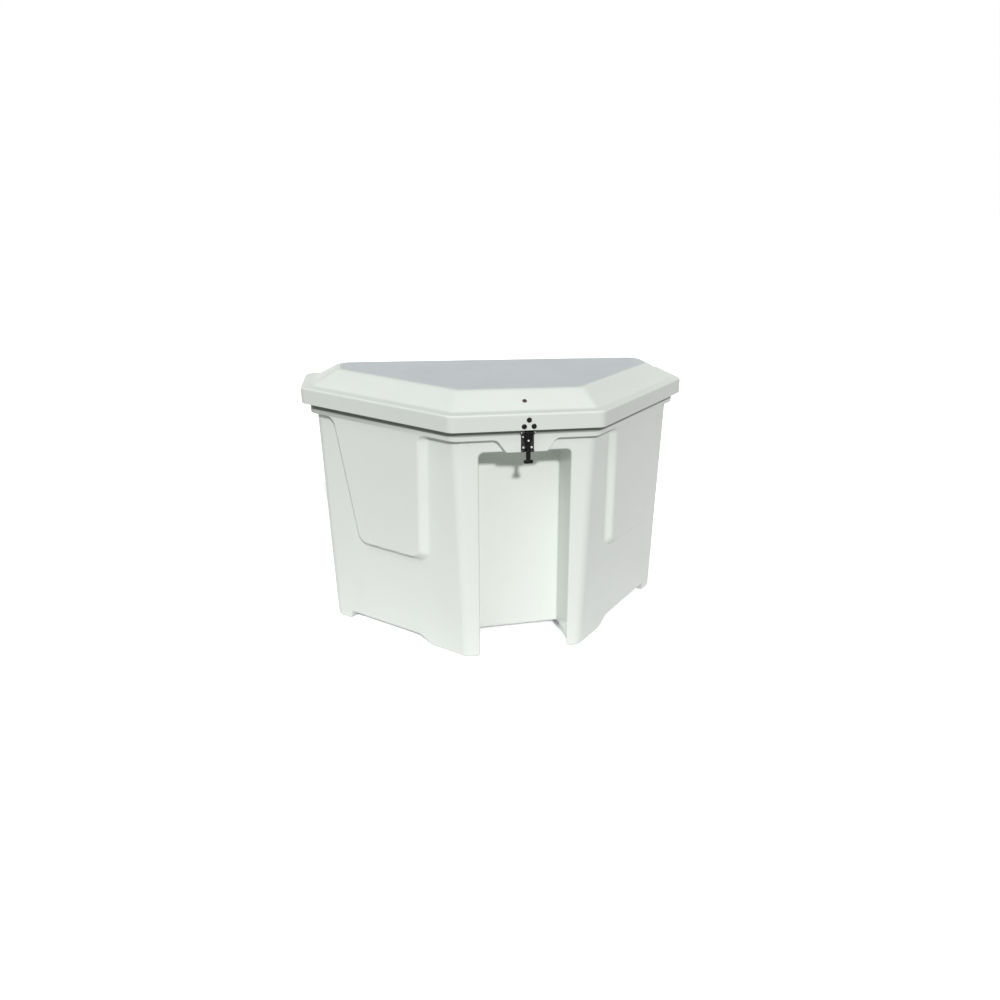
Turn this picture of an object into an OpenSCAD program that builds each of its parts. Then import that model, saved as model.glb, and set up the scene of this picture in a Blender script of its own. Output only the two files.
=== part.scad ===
// Dock storage box: a moulded glass-fibre tub with a hinged, domed lid.
// The plan is a trapezoid: a long back edge, two short ends, two angled sides and a short front.
// The front has a deep recess that goes round a post, and the box stands on four moulded feet.
// Millimetres. +Z is up, the front faces -Y, and the origin is on the ground under the middle.

/* [Lid plan] */
// Half the width of the lid at its widest, where the ends meet the angled sides
lid_half = 720; // [640:5:800]
// Half the width of the lid along its back edge
back_half = 702; // [620:2:760]
// Half the width of the lid along its front edge
front_half = 260; // [245:5:300]
// Depth of the lid from its back edge to its front edge
lid_depth = 732; // [690:2:780]
// Depth from the back edge to where the ends meet the angled sides
end_depth = 251; // [240:1:290]
// Radius of the lid's corners in plan
lid_corner = 42; // [20:1:60]

/* [Lid section] */
// Height of the lower edge of the lid's skirt above the ground
skirt_z = 856; // [830:1:900]
// Height of the skirt
skirt_h = 58; // [52:1:80]
// Radius along the skirt's upper edge
skirt_round = 6; // [3:0.5:9]
// Width of the flat shelf between the skirt and the raised top
shelf_w = 38; // [34:1:44]
// Rise of the shelf towards the raised top
shelf_rise = 1; // [0.5:0.5:3]
// Height of the raised top above the shelf
dome_h = 53; // [40:1:70]
// Distance from the lid's back edge to the flat plateau
dome_back = 82; // [74:1:100]
// Distance from the lid's ends to the flat plateau
dome_end = 124; // [100:1:140]
// Distance from the lid's angled sides to the flat plateau
dome_side = 122; // [100:1:140]
// Distance from the lid's front edge to the flat plateau
dome_front = 130; // [110:1:150]
// Thickness of the lid moulding
lid_wall = 5; // [4:0.5:6]

/* [Tub] */
// Thickness of the tub moulding
wall = 5; // [4:0.5:7]
// Height from the lower edge of the rim band up to the lid's skirt
lip_drop = 38; // [30:1:50]
// Inset of the rim band from the lid's edge at the ends, angled sides and front
lip_inset = 28; // [24:1:32]
// Step from the rim band in to the walls
lip_step = 22; // [14:1:26]
// How far the angled sides and the ends lean in from the rim band to the ground
side_draft = 26; // [10:1:40]
// How far the front leans in from the rim band to the ground
front_draft = 6; // [2:1:20]
// How far the back leans in from the rim band to the ground
back_draft = 18; // [6:1:30]
// Thickness of the rim's top flange
flange_t = 5; // [4:0.5:7]
// Width of the top flange at the ends, angled sides and front
flange_w = 20; // [16:1:24]
// Width of the top flange along the back
flange_back = 13; // [11:1:15]
// Inset of the rim from the lid's back edge, above the hinge
rim_back = 9; // [8.5:0.5:10]
// Radius of the tub's vertical corners
tub_corner = 50; // [30:1:60]
// Radius along the lower edge of the feet
foot_round = 10; // [5:1:14]

/* [Raised side panels] */
// Distance along the side from the lid's rear corner to the panel's upper rear corner
panel_rear = 118; // [100:1:150]
// How far the rear edge has moved forward at the panel's lower corner
panel_slant = 84; // [40:1:100]
// Distance along the side from the lid's front corner back to the panel's front edge
panel_fore = 160; // [146:1:200]
// How far the front edge has moved back at the panel's lower corner
panel_front_slant = 22; // [5:1:40]
// Height of the panel's lower edge above the ground
panel_z = 358; // [300:1:460]
// Radius of the panel's corners
panel_corner = 30; // [15:1:45]
// Width of the slope round the panel
panel_slope = 13; // [8:1:18]
// Width of the slope along the panel's front edge
panel_front_slope = 24; // [10:1:30]
// How far the panel's face leans in from the rim band to its lower edge
panel_lean = 14; // [4:1:18]

/* [Recess] */
// Half the width of the front recess
recess_half = 160; // [130:1:170]
// Height from the top of the recess up to the rim band
header_h = 48; // [42:1:100]
// Depth of the recess from the lid's front edge back to its rear wall
recess_depth = 212; // [170:1:240]
// Radius of the recess's upper corners
recess_corner = 18; // [8:1:30]

/* [Latch pad] */
// Half the width of the latch pad at its top
pad_top = 103; // [60:1:110]
// Half the width of the latch pad at its bottom
pad_bottom = 70; // [40:1:90]
// Gap between the top of the recess and the latch pad's lower edge
pad_gap = 2; // [1:0.5:5]

/* [Feet] */
// Height of the floor's underside between the feet
floor_z = 34; // [24:1:44]
// Distance along the side from the lid's front corner back to the end of the front foot
foot_fore = 165; // [150:1:190]
// How far the front foot's rear end slopes back at its top
front_foot_slope = 52; // [20:1:60]
// Distance from the lid's front edge to the back of the front feet
front_foot_y = 232; // [222:1:260]
// Distance along the side from the lid's rear corner to the rear foot's front end
rear_foot_u = 96; // [80:1:120]
// Slope of the other foot ends between the floor and the ground
foot_slope = 12; // [6:1:20]
// Width of the rear feet, from the foot of the end walls inwards
rear_foot_w = 73.8; // [60:0.1:100]
// Inset of the rear feet from the lid's back edge
rear_foot_y = 64; // [55:1:80]
// Radius of the holes for anchor bolts in the feet
anchor_r = 5.5; // [4:0.5:7]
// Distance from the sides of the recess to the anchor holes of the front feet
anchor_front_x = 50; // [40:1:60]
// Distance from the lid's front edge to the front anchor holes
anchor_front_y = 152; // [140:1:160]
// Distance from the foot of the end walls in to the anchor holes of the rear feet
anchor_rear_x = 37.3; // [30:0.1:50]
// Distance from the lid's back edge to the rear anchor holes
anchor_rear_y = 160; // [130:1:180]

/* [Drain] */
// Radius of the drain's bore
drain_r = 9; // [6:0.5:12]
// Radius of the drain's flange
drain_flange = 18; // [16:0.5:24]
// Thickness of the drain's bush and of its flange
bush_wall = 3; // [2:0.5:4]
// Distance of the drain from the lid's back edge
drain_y = 110; // [90:1:160]

/* [Hinge] */
// Distance from the lid's rear corners in to the ends of the hinge
hinge_in = 72; // [50:1:200]
// Radius of the knuckles
knuckle_r = 4.5; // [4:0.25:6]
// Length of one knuckle
knuckle_len = 63; // [40:1:90]
// Radius of the hinge pin
hinge_pin_r = 2.5; // [1.5:0.25:3]
// Width of each leaf from the pin's line
leaf_w = 32; // [26:1:33]
// Thickness of the leaves
leaf_t = 2; // [1.5:0.25:2.5]
// Number of rivets in each leaf
hinge_rivets = 12; // [6:1:14]
// Distance of the rivets from the pin's line
hinge_rivet_z = 19; // [16:0.5:21]
// Radius of the rivets
rivet_r = 2.4; // [2:0.1:3]
// Height of the rivets' heads
rivet_head_h = 1.6; // [1:0.1:2]
// Height of the rivets' tails inside the mouldings
rivet_tail_h = 2.5; // [1.5:0.1:2.5]

/* [Latch] */
// Radius of the latch bolts' heads
latch_head_r = 9; // [7:0.5:10]
// Height of the latch bolts' heads
latch_head_h = 5; // [4:0.5:6]
// Radius of the latch bolts
latch_bolt_r = 4; // [3:0.25:5]
// Height of the upper latch bolt above the skirt's lower edge
latch_bolt_top = 36; // [34:0.5:38]
// Height of the two lower latch bolts above the skirt's lower edge
latch_bolt_low = 14; // [13:0.5:16]
// Distance between the two lower latch bolts
latch_bolt_gap = 33; // [28:0.5:36]
// Width of the latch bracket
latch_w = 44; // [40:1:50]
// Thickness of the latch bracket and of the backing plate
latch_t = 2.5; // [2:0.25:3]
// Width of the strap's eye between the bracket's ears
strap_w = 29; // [24:1:32]
// Width of the strap's stem
stem_w = 15; // [12:0.5:18]
// Thickness of the strap
strap_t = 8; // [6:0.5:9]
// Distance from the skirt's lower edge down to the strap's pin
strap_pin_drop = 10; // [9.5:0.5:12]
// Radius of the strap's pin
strap_pin_r = 2.5; // [2:0.25:3]
// Distance from the strap's pin down to the rivet below its eye
strap_rivet_drop = 27; // [25:1:31]
// Radius of that rivet's two heads
strap_rivet_r = 3.5; // [3:0.25:4]
// Length of the strap from its pin to the foot of its handle
strap_len = 107; // [100:1:115]
// Width of the strap's cross handle
tee_w = 31; // [26:1:40]
// Height of the strap's cross handle
tee_h = 11; // [8:0.5:14]
// Depth of the strap's cross handle
tee_t = 12; // [9:0.5:12]
// How far the keeper plate reaches up over the rim band
keeper_up = 18; // [17:0.5:24]
// Thickness of the keeper plate
keeper_t = 3; // [2:0.25:4]
// How far the keeper's two lugs stand out from the latch pad
keeper_lug = 9; // [6:0.5:10]
// Height of the keeper's lugs
keeper_lug_h = 7; // [5:0.5:9]
// Radius of the keeper screws
keeper_screw_r = 2.5; // [2:0.25:3]
// Distance between the two columns of keeper screws
keeper_screw_gap = 27; // [24:1:30]

/* [Lid stiffening] */
// Width of the bar under the lid
rib_w = 40; // [30:1:60]
// Thickness of the bar under the lid
rib_t = 6; // [4:0.5:8]
// Distance from the lid's front edge to the bar's bolt
rib_bolt_y = 77; // [70:1:90]
// Radius of the head of the bar's bolt
rib_head_r = 8; // [6:0.5:10]
// Radius of the bar's bolt
rib_bolt_r = 3; // [2.5:0.25:4]
// Width of the two stiffeners under the plateau
stiffener_w = 70; // [50:1:90]
// Depth of the two stiffeners under the plateau
stiffener_h = 22; // [15:1:28]
// Gap between the bar and the stiffeners
stiffener_gap = 30; // [20:1:60]
// Gap between the ends of the stiffeners and the edge of the plateau
stiffener_in = 38; // [20:1:90]
// Distance of the stiffeners' middle from the lid's back edge
stiffener_y = 306; // [290:1:340]

/* [Lid struts] */
// Distance from the tub's end walls in to the struts' middle planes
strut_in = 24.5; // [22:0.5:40]
// Distance from the hinge pin forward to the struts' upper pivots
strut_top_y = 150; // [140:1:160]
// Height of the struts' upper pivots above the hinge pin
strut_top_z = 45; // [44:1:48]
// Distance from the hinge pin forward to the struts' lower pivots
strut_low_y = 115; // [110:1:125]
// Depth of the struts' lower pivots below the hinge pin
strut_low_z = 200; // [180:1:220]
// Radius of the strut tubes
strut_tube_r = 9; // [8:0.5:10]
// Wall of the strut tubes
strut_tube_wall = 1; // [1:0.25:1.5]
// Length of the strut tubes
strut_tube_len = 175; // [160:1:180]
// Radius of the strut rods
strut_rod_r = 4; // [3:0.25:5]
// Width of the struts' eyes
eye_w = 10; // [8:0.5:12]
// Radius of the struts' eyes
eye_r = 9; // [8:0.5:11]
// Radius of the struts' pivot studs
stud_r = 4; // [3:0.25:5]
// Distance from the struts' eyes to the blocks that carry their studs
stud_len = 11; // [9:0.5:14]
// Width of the blocks
block_w = 50; // [46:1:60]
// Height of the blocks on the tub
block_h = 64; // [60:1:80]
// Thickness of the studs' base plates
plate_t = 3; // [2:0.5:4]
// Distance of the block screws from the middle of a block on the tub
block_screw = 20; // [18:0.5:22]
// Distance of the block screws from the middle of a block under the lid
block_screw_lid = 16; // [13:0.5:18]

/* [Fasteners] */
// Radius of the small screws and bolts
screw_r = 2.5; // [2:0.25:3]
// Thickness of the nuts
nut_t = 5; // [4:0.5:6]
// Radial clearance of a screw or bolt in its hole
hole_gap = 0.2; // [0.1:0.05:0.4]
// Radial clearance of a turning pin in its bore
run_gap = 0.05; // [0.02:0.01:0.09]
// Gap between pieces that face each other but do not touch
face_gap = 0.3; // [0.2:0.05:0.5]

/* [Seal] */
// Width of the seal
seal_w = 8; // [6:0.5:9]
// Height from the rim's top flange up to the lid
seal_h = 9; // [6:0.5:12]
// Inset of the seal from the rim's outer face
seal_in = 2; // [1:0.5:3]

/* [Hidden] */
$fn = 48;
arc_steps = 5;
cut = 1;
far = 900;
half_turn = 180;
// Share of a radius by which a rounded edge has turned in at its middle.
round_mid = 1 - sqrt(0.5);
// Radii of screw heads and nuts, as multiples of the shank's radius.
head_over = 1.9;
nut_over = 2;
gelcoat = [0.88, 0.9, 0.87];
steel = [0.72, 0.73, 0.75];
black = [0.06, 0.06, 0.065];
bronze = [0.24, 0.15, 0.12];
rubber = [0.1, 0.1, 0.1];

// The furthest points in depth are the hinge knuckles behind and the latch bolt heads in front.
back_y = (lid_depth + latch_head_h - 2 * knuckle_r) / 2;
front_y = back_y - lid_depth;
skirt_top = skirt_z + skirt_h;
rim_z = skirt_top - lid_wall - seal_h;
lip_z = skirt_z - lip_drop;
recess_z = lip_z - header_h;
pad_z = recess_z + pad_gap;
shelf_z = skirt_top + shelf_rise;
top_z = skirt_top + dome_h + shelf_rise;
wall_inset = lip_inset + lip_step;
lip_y = front_y + lip_inset;
hinge_y = back_y + knuckle_r;
hinge_drop = 1;
band_gap = 3;
hinge_z = skirt_z - hinge_drop;
band_z = hinge_z - band_gap;
recess_y = front_y + recess_depth;

// Plan of the lid: the rear corner, the side corner and the front corner on the right.
rear_pt = [back_half, back_y];
side_pt = [lid_half, back_y - end_depth];
front_pt = [front_half, front_y];
side_dir = (front_pt - side_pt) / norm(front_pt - side_pt);
side_out = [-side_dir[1], side_dir[0]];
end_dir = (rear_pt - side_pt) / norm(rear_pt - side_pt);
end_out = [end_dir[1], -end_dir[0]];
side_len = norm(front_pt - side_pt);
panel_front = side_len - panel_fore;
front_foot_u = side_len - foot_fore;

function unit(v) = v / norm(v);
function flip_x(p) = [-p[0], p[1]];
function meet(p, d, q, e) = p + d * cross(q - p, e) / cross(d, e);

// How far out a line lies at a given y, for a line at an inset from an angled side or from an end.
function side_x(inset, y) = meet(side_pt - side_out * inset, side_dir, [0, y], [1, 0])[0];
function end_x(inset, y) = meet(side_pt - end_out * inset, end_dir, [0, y], [1, 0])[0];

// The six corners of the plan, counter-clockwise from the back on the right, with each edge moved in.
function plan(back, end, side, front) =
    let (raw = [rear_pt, flip_x(rear_pt), flip_x(side_pt), flip_x(front_pt), front_pt, side_pt],
         gap = [back, end, side, front, side, end],
         dir = [for (i = [0:5]) unit(raw[(i + 1) % 6] - raw[i])],
         at = [for (i = [0:5]) raw[i] + gap[i] * [-dir[i][1], dir[i][0]]])
    [for (i = [0:5]) let (j = (i + 5) % 6) meet(at[j], dir[j], at[i], dir[i])];

// The arc that rounds one corner, from the edge that comes in to the edge that goes out.
function corner_arc(before, p, after, r) =
    let (u = unit(before - p),
         v = unit(after - p),
         half = acos(u * v) / 2,
         mid = p + unit(u + v) * r / sin(half),
         from = p + u * r / tan(half) - mid,
         to = p + v * r / tan(half) - mid,
         start = atan2(from[1], from[0]),
         turn = (atan2(to[1], to[0]) - start + 3 * half_turn) % (2 * half_turn) - half_turn)
    [for (k = [0:arc_steps]) let (a = start + turn * k / arc_steps) mid + r * [cos(a), sin(a)]];

// A closed outline with every corner rounded.
function rounded(pts, r) =
    let (n = len(pts))
    [for (i = [0:n - 1]) each corner_arc(pts[(i + n - 1) % n], pts[i], pts[(i + 1) % n], r)];

function ring(outline, z) = [for (p = outline) [p[0], p[1], z]];
function lid_ring(inset, z) =
    ring(rounded(plan(inset, inset, inset, inset), lid_corner - min(inset, lid_corner / 2)), z);

// A closed solid through a list of rings that have the same number of points.
module skin(rings) {
    n = len(rings[0]);
    m = len(rings);
    sides = [for (k = [0:m - 2], i = [0:n - 1])
        let (a = k * n + i, b = k * n + (i + 1) % n)
        each [[a, a + n, b + n], [a, b + n, b]]];
    foot = [for (i = [0:n - 1]) i];
    head = [for (i = [0:n - 1]) m * n - 1 - i];
    polyhedron(points = [for (r = rings) each r], faces = concat([foot], sides, [head]));
}

module slab(outline, low, high) {
    translate([0, 0, low]) linear_extrude(high - low) polygon(outline);
}

module both_sides() {
    children();
    mirror([1, 0, 0]) children();
}

module along_x(x, y, z, r, length) {
    translate([x, y, z]) rotate([0, 90, 0]) cylinder(r = r, h = length);
}

// Points from a named face towards the back, so a bolt or a hole starts at its y.
module along_y(x, y, z, r, length) {
    translate([x, y, z]) rotate([-90, 0, 0]) cylinder(r = r, h = length);
}

// The inset of the tub's outside from the lid's edge at a height, for a lean of a given amount.
function lean(amount, z) = amount * (lip_z - z) / lip_z;

function tub_ring(z, extra, t) =
    ring(rounded(plan(lip_step + lean(back_draft, z) + extra + t,
                      wall_inset + lean(side_draft, z) + extra + t,
                      wall_inset + lean(side_draft, z) + extra + t,
                      wall_inset + lean(front_draft, z) + extra + t), tub_corner - t - extra / 2), z);

// One raised side panel in the side's own frame: u runs forward along the side, z up.
function side_at(u, z, inset) =
    let (p = side_pt + side_dir * u - side_out * inset) [p[0], p[1], z];

function panel_outline(grow, front_grow) =
    let (top = lip_z + 2 * panel_corner)
    rounded([[panel_rear - grow, top], [panel_front + front_grow, top],
             [panel_front - panel_front_slant + front_grow, panel_z - grow],
             [panel_rear + panel_slant - grow, panel_z - grow]], panel_corner);

// The outline is cut off at the rim band, so only its lower corners stay round.
function under_band(outline, top) = [for (p = outline) [p[0], min(p[1], top)]];

module side_panel(t) {
    top = lip_z + t;
    face = under_band(panel_outline(-t, -t), top);
    base = under_band(panel_outline(panel_slope - t, panel_front_slope - t), top);
    face_in = function(z) lip_inset + t + panel_lean * (lip_z - z) / (lip_z - panel_z);
    base_in = function(z) wall_inset + wall / 2 + t + lean(side_draft, z);
    skin([[for (p = base) side_at(p[0], p[1], base_in(p[1]))],
          [for (p = face) side_at(p[0], p[1], face_in(p[1]))]]);
}

// Where the ends' walls would meet the ground at the lid's back edge.
foot_rear_x = end_x(wall_inset + side_draft, back_y);

// The plan of one front foot and of one rear foot, for up = 0 at the ground and up = 1 at the floor.
function front_foot(up, t) =
    let (u = front_foot_u - front_foot_slope * up + t,
         foot_y = front_y + front_foot_y + foot_slope * up - t,
         side = side_pt + side_dir * u,
         inner = meet(side, side_out, [0, foot_y], [1, 0]))
    [[recess_half + t, -far], [far, -far], side + side_out * far, inner, [recess_half + t, foot_y]];

function rear_foot(up, t) =
    let (u = rear_foot_u + foot_slope * up - t,
         foot_x = foot_rear_x - rear_foot_w - foot_slope * up + t,
         foot_y = back_y - rear_foot_y + foot_slope * up - t,
         side = side_pt + side_dir * u,
         inner = meet(side, side_out, [foot_x, 0], [0, 1]))
    [inner, side + side_out * far, [far, foot_y], [foot_x, foot_y]];

// Everything under the floor that is not a foot.
module underfloor(t) {
    low = -2 * cut;
    high = floor_z + t + cut;
    up = function(z) (z - t) / floor_z;
    difference() {
        translate([-far, -far, -cut]) cube([2 * far, 2 * far, floor_z + t + cut]);
        both_sides() {
            skin([ring(front_foot(up(low), t), low), ring(front_foot(up(high), t), high)]);
            skin([ring(rear_foot(up(low), t), low), ring(rear_foot(up(high), t), high)]);
        }
    }
}

// The post recess, open to the front and to the ground.
module recess(t) {
    half = recess_half + t;
    top = recess_z + t;
    outline = concat([[-half, -cut], [half, -cut]],
                     corner_arc([half, 0], [half, top], [0, top], recess_corner),
                     corner_arc([0, top], [-half, top], [-half, 0], recess_corner));
    translate([0, recess_y + t, 0]) rotate([90, 0, 0]) linear_extrude(far) polygon(outline);
}

// The outside of the tub for t = 0, and its inside for t = the wall's thickness.
module tub_form(t) {
    base_z = t;
    band_in = lip_inset + t;
    difference() {
        union() {
            skin([tub_ring(base_z, foot_round, t),
                  tub_ring(base_z + foot_round * round_mid, foot_round * round_mid, t),
                  tub_ring(base_z + foot_round, 0, t),
                  tub_ring(lip_z + t + cut, 0, t)]);
            slab(rounded(plan(t, band_in, band_in, band_in), tub_corner - t), lip_z + t, band_z - t);
            slab(rounded(plan(rim_back + t, band_in, band_in, band_in), tub_corner - t),
                 lip_z + t, t > 0 ? rim_z - flange_t : rim_z);
            both_sides() side_panel(t);
        }
        underfloor(t);
        recess(t);
    }
}

// The opening inside the rim's top flange, or what lies a gap inside it.
module rim_opening(gap, low, high) {
    open_in = lip_inset + flange_w + gap;
    slab(rounded(plan(rim_back + flange_back + gap, open_in, open_in, open_in), tub_corner - flange_w - gap),
         low, high);
}

module tub_shell() {
    color(gelcoat) difference() {
        union() {
            difference() {
                tub_form(0);
                tub_form(wall);
                rim_opening(0, rim_z - flange_t - cut, rim_z + cut);
            }
            latch_pad();
        }
        for (x = hinge_rivet_x) along_y(x, back_y - wall - cut, hinge_z - hinge_rivet_z, rivet_r + hole_gap,
                                        wall + 2 * cut);
        for (p = keeper_screw_at) along_y(p[0], lip_y - cut, p[1], keeper_screw_r + hole_gap,
                                          lip_step + front_draft + 2 * wall);
        for (p = anchor_at) translate([p[0], p[1], -cut]) cylinder(r = anchor_r, h = wall + 2 * cut);
        translate([0, back_y - drain_y, floor_z - cut]) cylinder(r = drain_r + bush_wall, h = wall + 2 * cut);
    }
}

// The pad between the rim band and the recess, flush with the band.
module latch_pad() {
    translate([0, front_y + wall_inset + wall / 2, 0]) rotate([90, 0, 0])
        linear_extrude(lip_step + wall / 2)
            polygon([[-pad_bottom, pad_z], [pad_bottom, pad_z], [pad_top, lip_z], [-pad_top, lip_z]]);
}

rear_anchor = end_x(wall_inset + side_draft, back_y - anchor_rear_y) - anchor_rear_x;
anchor_at = [for (side = [-1, 1]) each [[side * (recess_half + anchor_front_x), front_y + anchor_front_y],
                                        [side * rear_anchor, back_y - anchor_rear_y]]];

// A plastic bush through the floor with a flange on the inside.
module drain_bush() {
    color([0.75, 0.76, 0.76]) translate([0, back_y - drain_y, 0]) difference() {
        union() {
            translate([0, 0, floor_z - bush_wall])
                cylinder(r = drain_r + bush_wall - hole_gap, h = wall + bush_wall);
            translate([0, 0, floor_z + wall]) cylinder(r = drain_flange, h = bush_wall);
        }
        translate([0, 0, floor_z - bush_wall - cut])
            cylinder(r = drain_r, h = wall + 2 * bush_wall + 2 * cut);
    }
}

// The rubber seal on the rim's top flange, just under the lid's shelf.
module rim_seal() {
    outer = lip_inset + seal_in;
    inner = outer + seal_w;
    top = skirt_top - lid_wall - face_gap;
    color(rubber) difference() {
        slab(rounded(plan(rim_back + seal_in, outer, outer, outer), tub_corner - seal_in), rim_z, top);
        slab(rounded(plan(rim_back + seal_in + seal_w, inner, inner, inner), tub_corner - seal_in - seal_w),
             rim_z - cut, top + cut);
    }
}

// The keeper: a plate on the latch pad with two lugs that the strap's handle hooks under.
keeper_edge = 4;
keeper_low = pad_z + keeper_edge;
keeper_screw_low = 15;
keeper_screw_high = 11;
keeper_head_h = 2.5;
lug_gap = 2;
thread_end = 2;
keeper_screw_at = [for (x = [-keeper_screw_gap / 2, keeper_screw_gap / 2],
                        z = [keeper_low + keeper_screw_low, lip_z + keeper_screw_high]) [x, z]];

module keeper_plate() {
    color(black) difference() {
        union() {
            translate([-latch_w / 2, lip_y - keeper_t, keeper_low])
                cube([latch_w, keeper_t, lip_z + keeper_up - keeper_low]);
            both_sides() translate([stem_w / 2 + lug_gap, lip_y - keeper_lug, keeper_low])
                cube([latch_w / 2 - stem_w / 2 - lug_gap, keeper_lug - keeper_t + cut, keeper_lug_h]);
        }
        for (p = keeper_screw_at) along_y(p[0], lip_y - keeper_t - cut, p[1], keeper_screw_r + hole_gap,
                                          keeper_t + 2 * cut);
    }
}

module keeper_screws() {
    color(steel) for (p = keeper_screw_at) {
        along_y(p[0], lip_y - keeper_t - keeper_head_h, p[1], keeper_screw_r * head_over, keeper_head_h);
        along_y(p[0], lip_y - keeper_t, p[1], keeper_screw_r,
                keeper_t + keeper_back(p[1]) + nut_t + thread_end);
    }
}

// How far the tub's inside face lies behind the band's outer face at a height.
function keeper_back(z) = z > lip_z + wall ? wall : lip_step + wall + lean(front_draft, z);

module keeper_nuts() {
    color(steel) for (p = keeper_screw_at)
        nut(p[0], lip_y + keeper_back(p[1]) + face_gap / 2, p[1], keeper_screw_r);
}

// A hexagon nut whose axis runs along Y, starting at y.
module nut(x, y, z, r) {
    translate([x, y, z]) rotate([-90, 0, 0]) difference() {
        cylinder(r = r * nut_over, h = nut_t, $fn = 6);
        translate([0, 0, -cut]) cylinder(r = r + hole_gap / 2, h = nut_t + 2 * cut);
    }
}

// The hinge: alternate knuckles belong to the tub's leaf and the lid's leaf.
knuckles = floor(2 * (back_half - hinge_in) / knuckle_len);
hinge_x0 = -knuckles * knuckle_len / 2;
hinge_rivet_x = [for (i = [0:hinge_rivets - 1])
    hinge_x0 + knuckles * knuckle_len * (i + 0.5) / hinge_rivets];

module hinge_leaf(first, up) {
    leaf_z = up > 0 ? hinge_z + knuckle_r : hinge_z - leaf_w;
    difference() {
        union() {
            translate([hinge_x0, back_y, leaf_z]) cube([knuckles * knuckle_len, leaf_t, leaf_w - knuckle_r]);
            for (i = [first:2:knuckles - 1]) translate([hinge_x0 + i * knuckle_len + face_gap / 2, 0, 0]) {
                along_x(0, hinge_y, hinge_z, knuckle_r, knuckle_len - face_gap);
                translate([0, back_y, up > 0 ? hinge_z : hinge_z - knuckle_r - cut])
                    cube([knuckle_len - face_gap, leaf_t, knuckle_r + cut]);
            }
        }
        along_x(hinge_x0 - cut, hinge_y, hinge_z, hinge_pin_r + run_gap, knuckles * knuckle_len + 2 * cut);
        for (x = hinge_rivet_x) along_y(x, back_y - cut, hinge_z + up * hinge_rivet_z, rivet_r + hole_gap,
                                        leaf_t + 2 * cut);
    }
}

module hinge_leaf_tub() { color(steel) hinge_leaf(0, -1); }

module hinge_leaf_lid() { color(steel) hinge_leaf(1, 1); }

module hinge_pin() {
    color(steel) along_x(hinge_x0, hinge_y, hinge_z, hinge_pin_r, knuckles * knuckle_len);
}

tail_over = 1.5;

// A blind rivet: a low head on the leaf, a shank, and a swelling behind the moulding.
module hinge_rivet_row(up, thick) {
    for (x = hinge_rivet_x) {
        z = hinge_z + up * hinge_rivet_z;
        along_y(x, back_y + leaf_t, z, rivet_r * head_over, rivet_head_h);
        along_y(x, back_y - thick, z, rivet_r, thick + leaf_t);
        along_y(x, back_y - thick - rivet_tail_h, z, rivet_r * tail_over, rivet_tail_h);
    }
}

module hinge_rivets_tub() { color(steel) hinge_rivet_row(-1, wall); }

module hinge_rivets_lid() { color(steel) hinge_rivet_row(1, lid_wall); }

// The lid: a skirt, a narrow shelf and a raised top with a flat plateau.
function dome_ring(grow, z) = ring(rounded(plan(dome_back + grow, dome_end + grow, dome_side + grow,
                                                dome_front + grow), lid_corner), z);
dome_soft = 5;
dome_soft_drop = 2;
inner_shift = 2;

module lid_outside() {
    skin([lid_ring(0, skirt_z),
          lid_ring(0, skirt_top - skirt_round),
          lid_ring(skirt_round * round_mid, skirt_top - skirt_round * round_mid),
          lid_ring(skirt_round, skirt_top),
          lid_ring(shelf_w, shelf_z),
          dome_ring(-dome_soft, top_z - dome_soft_drop),
          dome_ring(dome_soft, top_z)]);
}

module lid_inside() {
    skin([lid_ring(lid_wall, skirt_z - cut),
          lid_ring(lid_wall, skirt_top - skirt_round),
          lid_ring(lid_wall + skirt_round * 0.5, skirt_top - lid_wall),
          lid_ring(shelf_w + inner_shift, shelf_z - lid_wall),
          dome_ring(inner_shift - dome_soft, top_z - dome_soft_drop - lid_wall),
          dome_ring(inner_shift + dome_soft, top_z - lid_wall)]);
}

latch_bolt_at = [[0, skirt_z + latch_bolt_top], [-latch_bolt_gap / 2, skirt_z + latch_bolt_low],
                 [latch_bolt_gap / 2, skirt_z + latch_bolt_low]];

module latch_holes(y, thick) {
    for (p = latch_bolt_at) along_y(p[0], y - cut, p[1], latch_bolt_r + hole_gap, thick + 2 * cut);
}

module lid_shell() {
    color(gelcoat) difference() {
        lid_outside();
        lid_inside();
        for (x = hinge_rivet_x) along_y(x, back_y - lid_wall - cut, hinge_z + hinge_rivet_z,
                                        rivet_r + hole_gap, lid_wall + 2 * cut);
        latch_holes(front_y, lid_wall);
        on_bevel() bar_hole();
    }
}

// The front bevel of the raised top, outside and inside, as points of (inset, height).
bevel_low = [shelf_w, shelf_z];
bevel_high = [dome_front - dome_soft, top_z - dome_soft_drop];
bevel_slope = atan2(bevel_high[1] - bevel_low[1], bevel_high[0] - bevel_low[0]);
inner_low = [shelf_w + inner_shift, shelf_z - lid_wall];
inner_high = [dome_front - dome_soft + inner_shift, top_z - dome_soft_drop - lid_wall];
function inside_z(inset) =
    inner_low[1] + (inner_high[1] - inner_low[1]) * (inset - inner_low[0]) / (inner_high[0] - inner_low[0]);

// Puts things on the outside of the front bevel, with +Z square to it.
module on_bevel() {
    bolt_z = bevel_low[1] + (rib_bolt_y - bevel_low[0]) * tan(bevel_slope);
    translate([0, front_y + rib_bolt_y, bolt_z]) rotate([bevel_slope, 0, 0]) children();
}

module bar_hole() {
    translate([0, 0, -bevel_grip - 2 * cut]) cylinder(r = rib_bolt_r + hole_gap, h = bevel_grip + 4 * cut);
}

// Thickness of the lid and of the bar, square to the bevel.
bevel_grip = (lid_wall + inner_shift * tan(bevel_slope) + rib_t) * cos(bevel_slope);

rib_lap = 22;

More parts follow.
